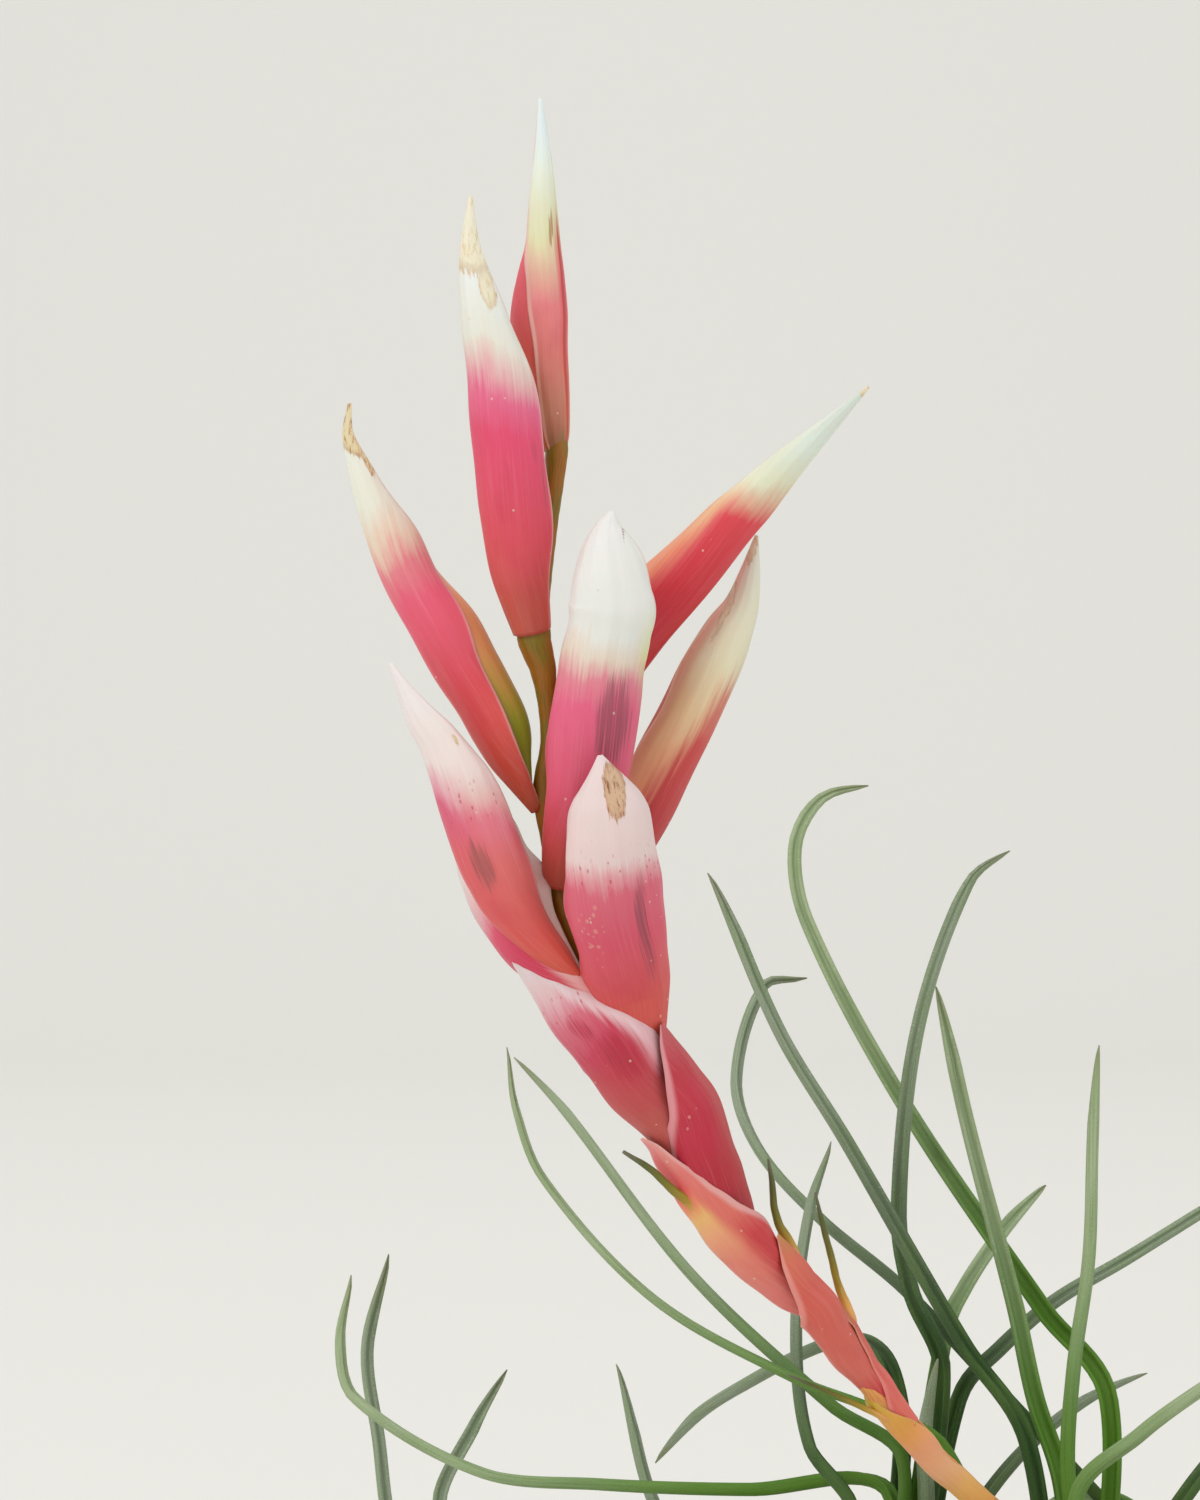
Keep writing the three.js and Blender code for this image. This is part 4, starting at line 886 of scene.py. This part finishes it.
bract_looks = {
    1: {"stops": [(0, 196, 124, 78), (0.1, 224, 128, 88), (0.24, 236, 110, 98), (0.38, 238, 96, 106),
          (0.54, 236, 98, 114), (0.6, 220, 150, 124), (0.68, 226, 222, 178), (0.8, 234, 240, 222),
          (0.9, 232, 242, 242)], "streak": 0.04, "edge": (244, 186, 178), "rim": (0.86, 0.93, 0.75),
        "one_rim": True, "ridge": (190, 66, 62), "bruise": (158, 106, 30),
        "flank": (1, 0.0, 0.02, 0.2, [(0, 140, 106, 64), (0.1, 194, 130, 104), (0.27, 228, 124, 118),
          (0.42, 242, 134, 138), (0.52, 234, 190, 164), (0.61, 232, 226, 182), (0.8, 234, 240, 226),
          (0.9, 232, 242, 242)])},
    2: {"stops": [(0, 206, 100, 84), (0.1, 212, 92, 84), (0.25, 226, 78, 94), (0.48, 232, 76, 114),
          (0.56, 234, 108, 144), (0.63, 234, 196, 190), (0.69, 234, 230, 216), (0.86, 236, 240, 236)],
        "streak": 0.05, "slant": -0.07, "dry": ((240, 232, 208), (228, 208, 170), (170, 128, 80)),
        "flank": (1, 0.0, 0.25, 0.75, [(0, 204, 96, 80), (0.2, 210, 80, 76), (0.42, 212, 62, 80),
          (0.53, 220, 78, 98), (0.6, 232, 190, 176), (0.7, 234, 226, 200), (0.86, 234, 232, 216)])},
    # The deep red below the cream of bract 3 is its own red, darkened further with painted shade for its
    # shaded lower side.
    3: {"stops": [(0, 160, 36, 36), (0.2, 176, 30, 40), (0.45, 208, 40, 56), (0.65, 226, 70, 80),
          (0.705, 228, 180, 152), (0.75, 228, 228, 198), (0.86, 222, 234, 222), (1, 216, 226, 216)],
        "streak": 0.02, "slant": 0.06, "rim": (0.95, 0.995, 0.2),
        "flank": (1, 0.1, 0.72, 1.04, [(0, 226, 100, 76), (0.3, 232, 116, 90), (0.54, 238, 146, 110),
          (0.66, 238, 190, 146), (0.76, 228, 230, 204), (1, 218, 228, 218)])},
    4: {"stops": [(0, 196, 104, 72), (0.1, 222, 88, 74), (0.3, 226, 78, 88), (0.53, 236, 94, 122),
          (0.61, 234, 130, 140), (0.68, 236, 204, 182), (0.77, 236, 234, 218), (1, 236, 236, 228)],
        "streak": 0.08, "dry": ((228, 210, 170), (176, 132, 82), (140, 96, 54))},
    5: {"stops": [(0, 176, 56, 52), (0.3, 196, 62, 64), (0.5, 210, 74, 74), (0.62, 214, 130, 110),
          (0.72, 226, 212, 180), (1, 232, 232, 222)], "streak": 0.06, "edge": (250, 158, 134),
        "rim": (0.72, 0.98, 0.55),
        "flank": (1, 1.0, 0.82, 1.1, [(0, 226, 114, 90), (0.2, 238, 142, 112), (0.4, 244, 176, 134),
          (0.54, 244, 208, 162), (0.68, 240, 228, 194), (1, 234, 232, 216)])},
    6: {"stops": [(0, 196, 88, 66), (0.1, 214, 82, 80), (0.3, 228, 88, 118), (0.5, 232, 98, 134),
          (0.57, 228, 136, 150), (0.63, 232, 214, 196), (0.7, 234, 234, 228), (1, 236, 234, 230)],
        "streak": 0.06,
        "flank": (-1, 0.0, 0.4, 0.8, [(0, 196, 84, 66), (0.2, 214, 80, 92), (0.5, 226, 96, 128),
          (0.58, 224, 156, 146), (0.64, 222, 216, 160), (0.7, 228, 230, 196), (0.78, 234, 235, 228)])},
    7: {"stops": [(0, 214, 90, 66), (0.2, 226, 92, 86), (0.43, 226, 112, 112), (0.53, 228, 122, 138),
          (0.6, 234, 186, 182), (0.69, 240, 222, 216), (1, 240, 232, 230)], "streak": 0.05, "slant": -0.07,
        "freckled": 0.56, "bruise": (150, 86, 84),
        "flank": (1, 0.0, -0.5, 0.15, [(0, 210, 86, 64), (0.2, 224, 86, 82), (0.43, 224, 92, 102),
          (0.58, 222, 92, 126), (0.63, 232, 160, 174), (0.69, 240, 222, 218), (1, 240, 232, 232)])},
    8: {"stops": [(0, 212, 88, 70), (0.2, 218, 82, 82), (0.45, 222, 84, 108), (0.61, 222, 104, 124),
          (0.66, 230, 162, 168), (0.7, 236, 210, 207), (1, 238, 216, 213)], "streak": 0.045, "dots": 0.35,
        "dry": ((214, 178, 146), (150, 98, 66), (170, 116, 82)), "freckled": 0.66},
    9: {"stops": [(0, 206, 70, 78), (0.25, 212, 58, 90), (0.38, 222, 76, 108), (0.46, 232, 168, 176),
          (0.6, 236, 214, 210), (1, 238, 226, 222)], "streak": 0.05,
        "flank": (-1, 0.0, 0.6, 0.8, [(0, 238, 168, 166), (0.3, 244, 204, 200), (1, 246, 230, 226)])},
}
bract_marks = {
    1: [(BRUISE, -46.1, 133.4, 1.7, 0.18, 1.3)],
    2: [(BRUISE, -46.6, 112.4, 3.4, 0.3, 0.45), (BRUISE, -47.4, 114.6, 1.4, 0.3, 0.4),
        (DRY, -52.6, 133.5, 4.2, 2.5, 1.2), (DRY, -51.3, 128, 2.2, 0.7, 0.8)],
    3: [(DRY, -19.7, 120.2, 0.7, 0.5, 1.0)],
    4: [(DRY, -62.7, 117.2, 2.8, 1.5, 1.3), (DRY, -61.4, 114.2, 1.6, 0.35, 0.8)],
    5: [(DRY, -31.2, 102, 3.6, 0.32, 0.75), (DRY, -29.2, 107, 1.6, 0.5, 0.7)],
    6: [(BRUISE, -40.9, 92.5, 3.9, 1.5, 1.0), (BRUISE, -40.1, 108.2, 1.3, 0.1, 1.2)],
    7: [(BRUISE, -51.6, 80.6, 2.3, 0.8, 1.15), (DRY, -53.9, 90.9, 0.7, 0.2, 0.6)],
    8: [(DRY, -40.8, 86.7, 2.3, 0.85, 1.2), (BRUISE, -38.5, 75.6, 4.2, 0.6, 0.9),
        (WARTS, -42.6, 75.4, 2.2, 1.3, 0.75)],
}
for i, bract in enumerate(floral_bracts, 1):
    bract["marks"] = bract_marks.get(i, [])
    finish = bract_finish(f"floral bract {i}", **bract_looks[i])
    mesh = bract_mesh(f"bract_{i}", bract, i, wall=0.34, rings=110)
    show(f"bract_{i}", mesh, finish, "bract", f"floral_bract_{i}")


# Wrapping bracts.
# Under the flowers two empty crimson bracts wrap the stem. Each lies over the foot of the one above it, and
# its thin pale margin shows as a line.
wrap_bracts = [
    {"rows": [(-34.5, -18.6, 56.5, 1.75), (-36.6, -19, 59.45, 2.5), (-38.75, -19.8, 62.15, 3.03),
       (-40.6, -20.4, 65.4, 3.5), (-43.7, -20.8, 68, 2.74), (-46.6, -21.2, 70.7, 1.58),
       (-49.6, -21.6, 73.2, 0.25)], "keel": [(0, 75), (1, 60)],
     "edges": [(0, 160, 150), (0.45, 160, 130), (0.7, 145, 115), (0.85, 120, 100), (1, 90, 80)],
     "marks": [(BRUISE, -40, 64.8, 2.6, 1.7, 0.9), (BRUISE, -43.6, 66.9, 1.6, 0.7, 0.8)]},
    {"rows": [(-30.4, -17.9, 50.2, 1.6), (-31.3, -18.1, 52.1, 2.05), (-32.5, -18.8, 54.5, 2.5),
       (-33.6, -19.55, 57.2, 2.6), (-34.2, -20.15, 60.2, 2.3), (-35.2, -20.6, 62.95, 1.55),
       (-36.3, -21, 65.5, 0.8), (-36.9, -21.3, 67.3, 0.2)], "keel": [(0, -85), (1, -80)],
     "edges": [(0, 140, 172), (0.42, 135, 170), (0.6, 125, 125), (0.8, 110, 95), (1, 80, 60)],
     "marks": [(WARTS, -34.6, 59.6, 0.34, 0.3, 1.0), (WARTS, -34.75, 58.6, 0.34, 0.3, 1.0)]},
]
wrap_looks = [
    {"stops": [(0, 200, 96, 88), (0.2, 196, 88, 82), (0.4, 196, 62, 76), (0.55, 200, 62, 88),
       (0.68, 216, 112, 130), (0.78, 232, 184, 188), (0.9, 236, 212, 212), (1, 232, 206, 206)],
     "streak": 0.07, "edge": (236, 196, 198), "dots": 0.3, "bruise": (184, 26, 58), "freckled": 0.72,
     "flank": (-1, 0.3, 0.68, 0.85, [(0, 196, 74, 84), (0.3, 206, 84, 100), (0.4, 228, 160, 168),
       (0.52, 236, 200, 204), (0.75, 238, 216, 218), (1, 234, 210, 212)])},
    {"stops": [(0, 150, 40, 48), (0.2, 178, 36, 50), (0.5, 194, 40, 66), (0.8, 190, 54, 68),
       (1, 200, 96, 100)], "streak": 0.08, "edge": (240, 168, 172), "dots": 0.3, "rim": (0.79, 0.92, 0.7),
     "flank": (-1, 0.0, -0.4, -0.12, [(0, 160, 44, 48), (0.3, 186, 56, 60), (0.8, 196, 84, 88),
       (1, 204, 96, 98)])},
]
for i, (bract, looks) in enumerate(zip(wrap_bracts, wrap_looks), 1):
    finish = bract_finish(f"wrapping bract {i}", **looks)
    mesh = bract_mesh(f"wrap_{i}", bract, i + 20, wall=0.3, rings=110)
    show(f"wrap_{i}", mesh, finish, "bract", f"wrap_bract_{i}")


# Stem bracts.
# Four salmon sheaths clasp the stem below. Each one's midrib runs out from the back of the sheath as a thin
# green thread with a dry end, the rest of what was once a leaf blade.
stem_bracts = [
    {"rows": [(-24.5, -15.1, 43.6, 1.5), (-25.9, -15.5, 44.5, 1.75), (-27.5, -16.2, 46.1, 2.08),
       (-29.2, -17.1, 47.9, 2.38), (-30.7, -18, 49.8, 2.6), (-32.2, -18.6, 51.9, 2.55),
       (-33.4, -19, 53.3, 2.4), (-34.5, -19.4, 54.7, 2.15), (-35.9, -19.8, 56, 1.65),
       (-37.2, -20, 57.2, 1.05), (-38.5, -20.2, 57.8, 0.3)], "keel": [(0, 65), (1, 65)],
     "edges": [(0, 165, 150), (0.42, 158, 120), (0.56, 105, 100), (0.65, 92, 92), (0.75, 81, 84),
       (0.9, 68, 74), (1, 60, 60)], "round": True,
     "thread": [(-33, -19.2, 50.4, 0.3), (-34.3, -20.5, 52.1, 0.42), (-35.9, -21.3, 53.4, 0.37),
       (-37.8, -21.7, 55.2, 0.3), (-40.1, -22, 56.7, 0.15)]},
    {"rows": [(-17.6, -11.6, 35, 0.95), (-18.7, -12.3, 36.2, 1.22), (-19.85, -13, 37.5, 1.38),
       (-20.8, -13.6, 38.6, 1.52), (-21.7, -14.2, 39.9, 1.62), (-22.6, -14.8, 41.2, 1.75),
       (-23.6, -15.5, 42.8, 1.95), (-24.8, -16, 43.9, 2.1), (-25.7, -16.4, 44.9, 2.1),
       (-26.3, -16.8, 46.1, 1.9), (-26.9, -17.2, 47.6, 1.4), (-27.3, -17.9, 49.4, 0.3)],
     "keel": [(0, -80), (1, -80)],
     "edges": [(0, 150, 175), (0.5, 150, 175), (0.57, 140, 164), (0.65, 120, 118), (0.72, 110, 96),
       (0.88, 95, 84), (1, 60, 70)], "round": True,
     "thread": [(-24.7, -16.2, 45.2, 0.3), (-25.4, -16, 46.9, 0.48), (-26.1, -15.8, 48.6, 0.45),
       (-26.9, -15.8, 50, 0.38), (-27.35, -15.8, 51.6, 0.31), (-27.5, -15.9, 53.4, 0.27),
       (-27.85, -15.9, 55.6, 0.1)]},
    {"rows": [(-15.8, -10.2, 32.4, 1.1), (-17.2, -11, 34.1, 1.32), (-18.6, -12.2, 36.2, 1.38),
       (-19.7, -12.9, 37.5, 1.46), (-20.5, -13.3, 38.7, 1.58), (-21.4, -13.8, 40, 1.68),
       (-22.2, -14.25, 41.3, 1.72), (-22.5, -14.5, 42.7, 1.25), (-22.3, -14.6, 43.8, 0.3)],
     "keel": [(0, -80), (1, -80)],
     "edges": [(0, 150, 165), (0.15, 150, 110), (0.32, 130, 72), (0.45, 110, 52), (0.58, 100, 38),
       (0.85, 90, 30), (1, 60, 50)], "round": True,
     "thread": [(-20.5, -14.2, 40.6, 0.3), (-20.8, -13.9, 42, 0.46), (-21.3, -13.5, 43.3, 0.42),
       (-21.9, -13.5, 44.9, 0.34), (-22.4, -13.5, 47, 0.3), (-23.1, -13.6, 49.6, 0.25),
       (-23.8, -13.7, 52.6, 0.1)]},
    {"rows": [(-8.8, -4.7, 24.8, 1.2), (-11.3, -6.6, 27.2, 1.18), (-13.1, -8, 28.8, 1.2),
       (-14.5, -9, 30.6, 1.3), (-16, -10, 32.5, 1.42), (-17.3, -11.1, 34.2, 1.5), (-18.5, -12, 35.3, 1.25),
       (-19.5, -12.8, 36.1, 0.3)], "keel": [(0, 95), (1, 95)],
     "edges": [(0, 165, 150), (0.58, 165, 150), (0.71, 130, 120), (0.84, 84, 80), (1, 60, 60)], "round": True,
     "thread": [(-16.6, -11, 32.6, 0.2), (-17.8, -12, 33.3, 0.3), (-19.6, -12.8, 34.2, 0.27),
       (-22, -13.6, 35.4, 0.22), (-26.2, -15, 37.3, 0.1)]},
]
stem_bract_looks = [
    {"stops": [(0, 222, 110, 104), (0.15, 228, 120, 112), (0.38, 234, 132, 114), (0.5, 238, 164, 122),
       (0.59, 238, 184, 112), (0.66, 238, 138, 100), (0.74, 236, 92, 92), (0.87, 232, 110, 110),
       (1, 236, 150, 148)], "streak": 0.06, "edge": (236, 176, 172), "rim": (0.8, 0.93, 0.75),
     "flank": (-1, -0.2, 0.22, 0.5, [(0, 226, 116, 108), (0.25, 200, 60, 60), (0.42, 206, 56, 62),
       (0.55, 222, 110, 96), (0.8, 230, 120, 112), (1, 236, 160, 150)])},
    # The deep red at the very foot of the second sheath is painted shade, where the margin of the sheath
    # below lies over it.
    {"stops": [(0, 200, 44, 52), (0.08, 204, 60, 62), (0.2, 216, 106, 92), (0.5, 216, 100, 86),
       (0.72, 214, 92, 80), (0.87, 216, 108, 84), (1, 200, 130, 74)], "streak": 0.06, "edge": (236, 150, 140),
     "rim": (0.78, 0.92, 0.8)},
    {"stops": [(0, 232, 110, 96), (0.4, 228, 106, 96), (0.7, 214, 100, 84), (1, 190, 120, 60)],
     "streak": 0.06, "edge": (238, 140, 132), "rim": (0.75, 0.9, 0.7)},
    {"stops": [(0, 230, 158, 76), (0.2, 236, 174, 96), (0.36, 238, 172, 126), (0.52, 238, 160, 116),
       (0.68, 238, 160, 80), (0.84, 232, 170, 70), (0.94, 206, 170, 60), (1, 150, 140, 50)], "streak": 0.06,
     "edge": (226, 170, 90)},
]
thread_colours = [(0, 232, 158, 104), (0.2, 224, 166, 84), (0.36, 162, 134, 30), (0.56, 112, 110, 22),
                  (0.82, 84, 90, 38), (1, 112, 112, 88)]
thread_finish, tree, surface = start_finish("green thread")
_, along, _ = three(kept(tree, "place"))
grain = clouds(kept(tree, "lie"), (4, 0.8, 4), 3)
coat(surface, ramp(plus(along, swing(grain, 0.25)), thread_colours), 0.5, grain, strength=0.4, depth=0.1)
for i, (bract, looks) in enumerate(zip(stem_bracts, stem_bract_looks), 1):
    finish = bract_finish(f"stem bract {i}", dots=0.15, **looks)
    mesh = bract_mesh(f"sheath_{i}", bract, i + 30, wall=0.28, rings=80)
    show(f"sheath_{i}", mesh, finish, "sheath", f"scape_bract_{i}")
    thread = rod(f"thread_{i}", bract["thread"], sides=14, rings=50, seed=i, wobble=0.03)
    show(f"thread_{i}", thread, thread_finish, "leaf")
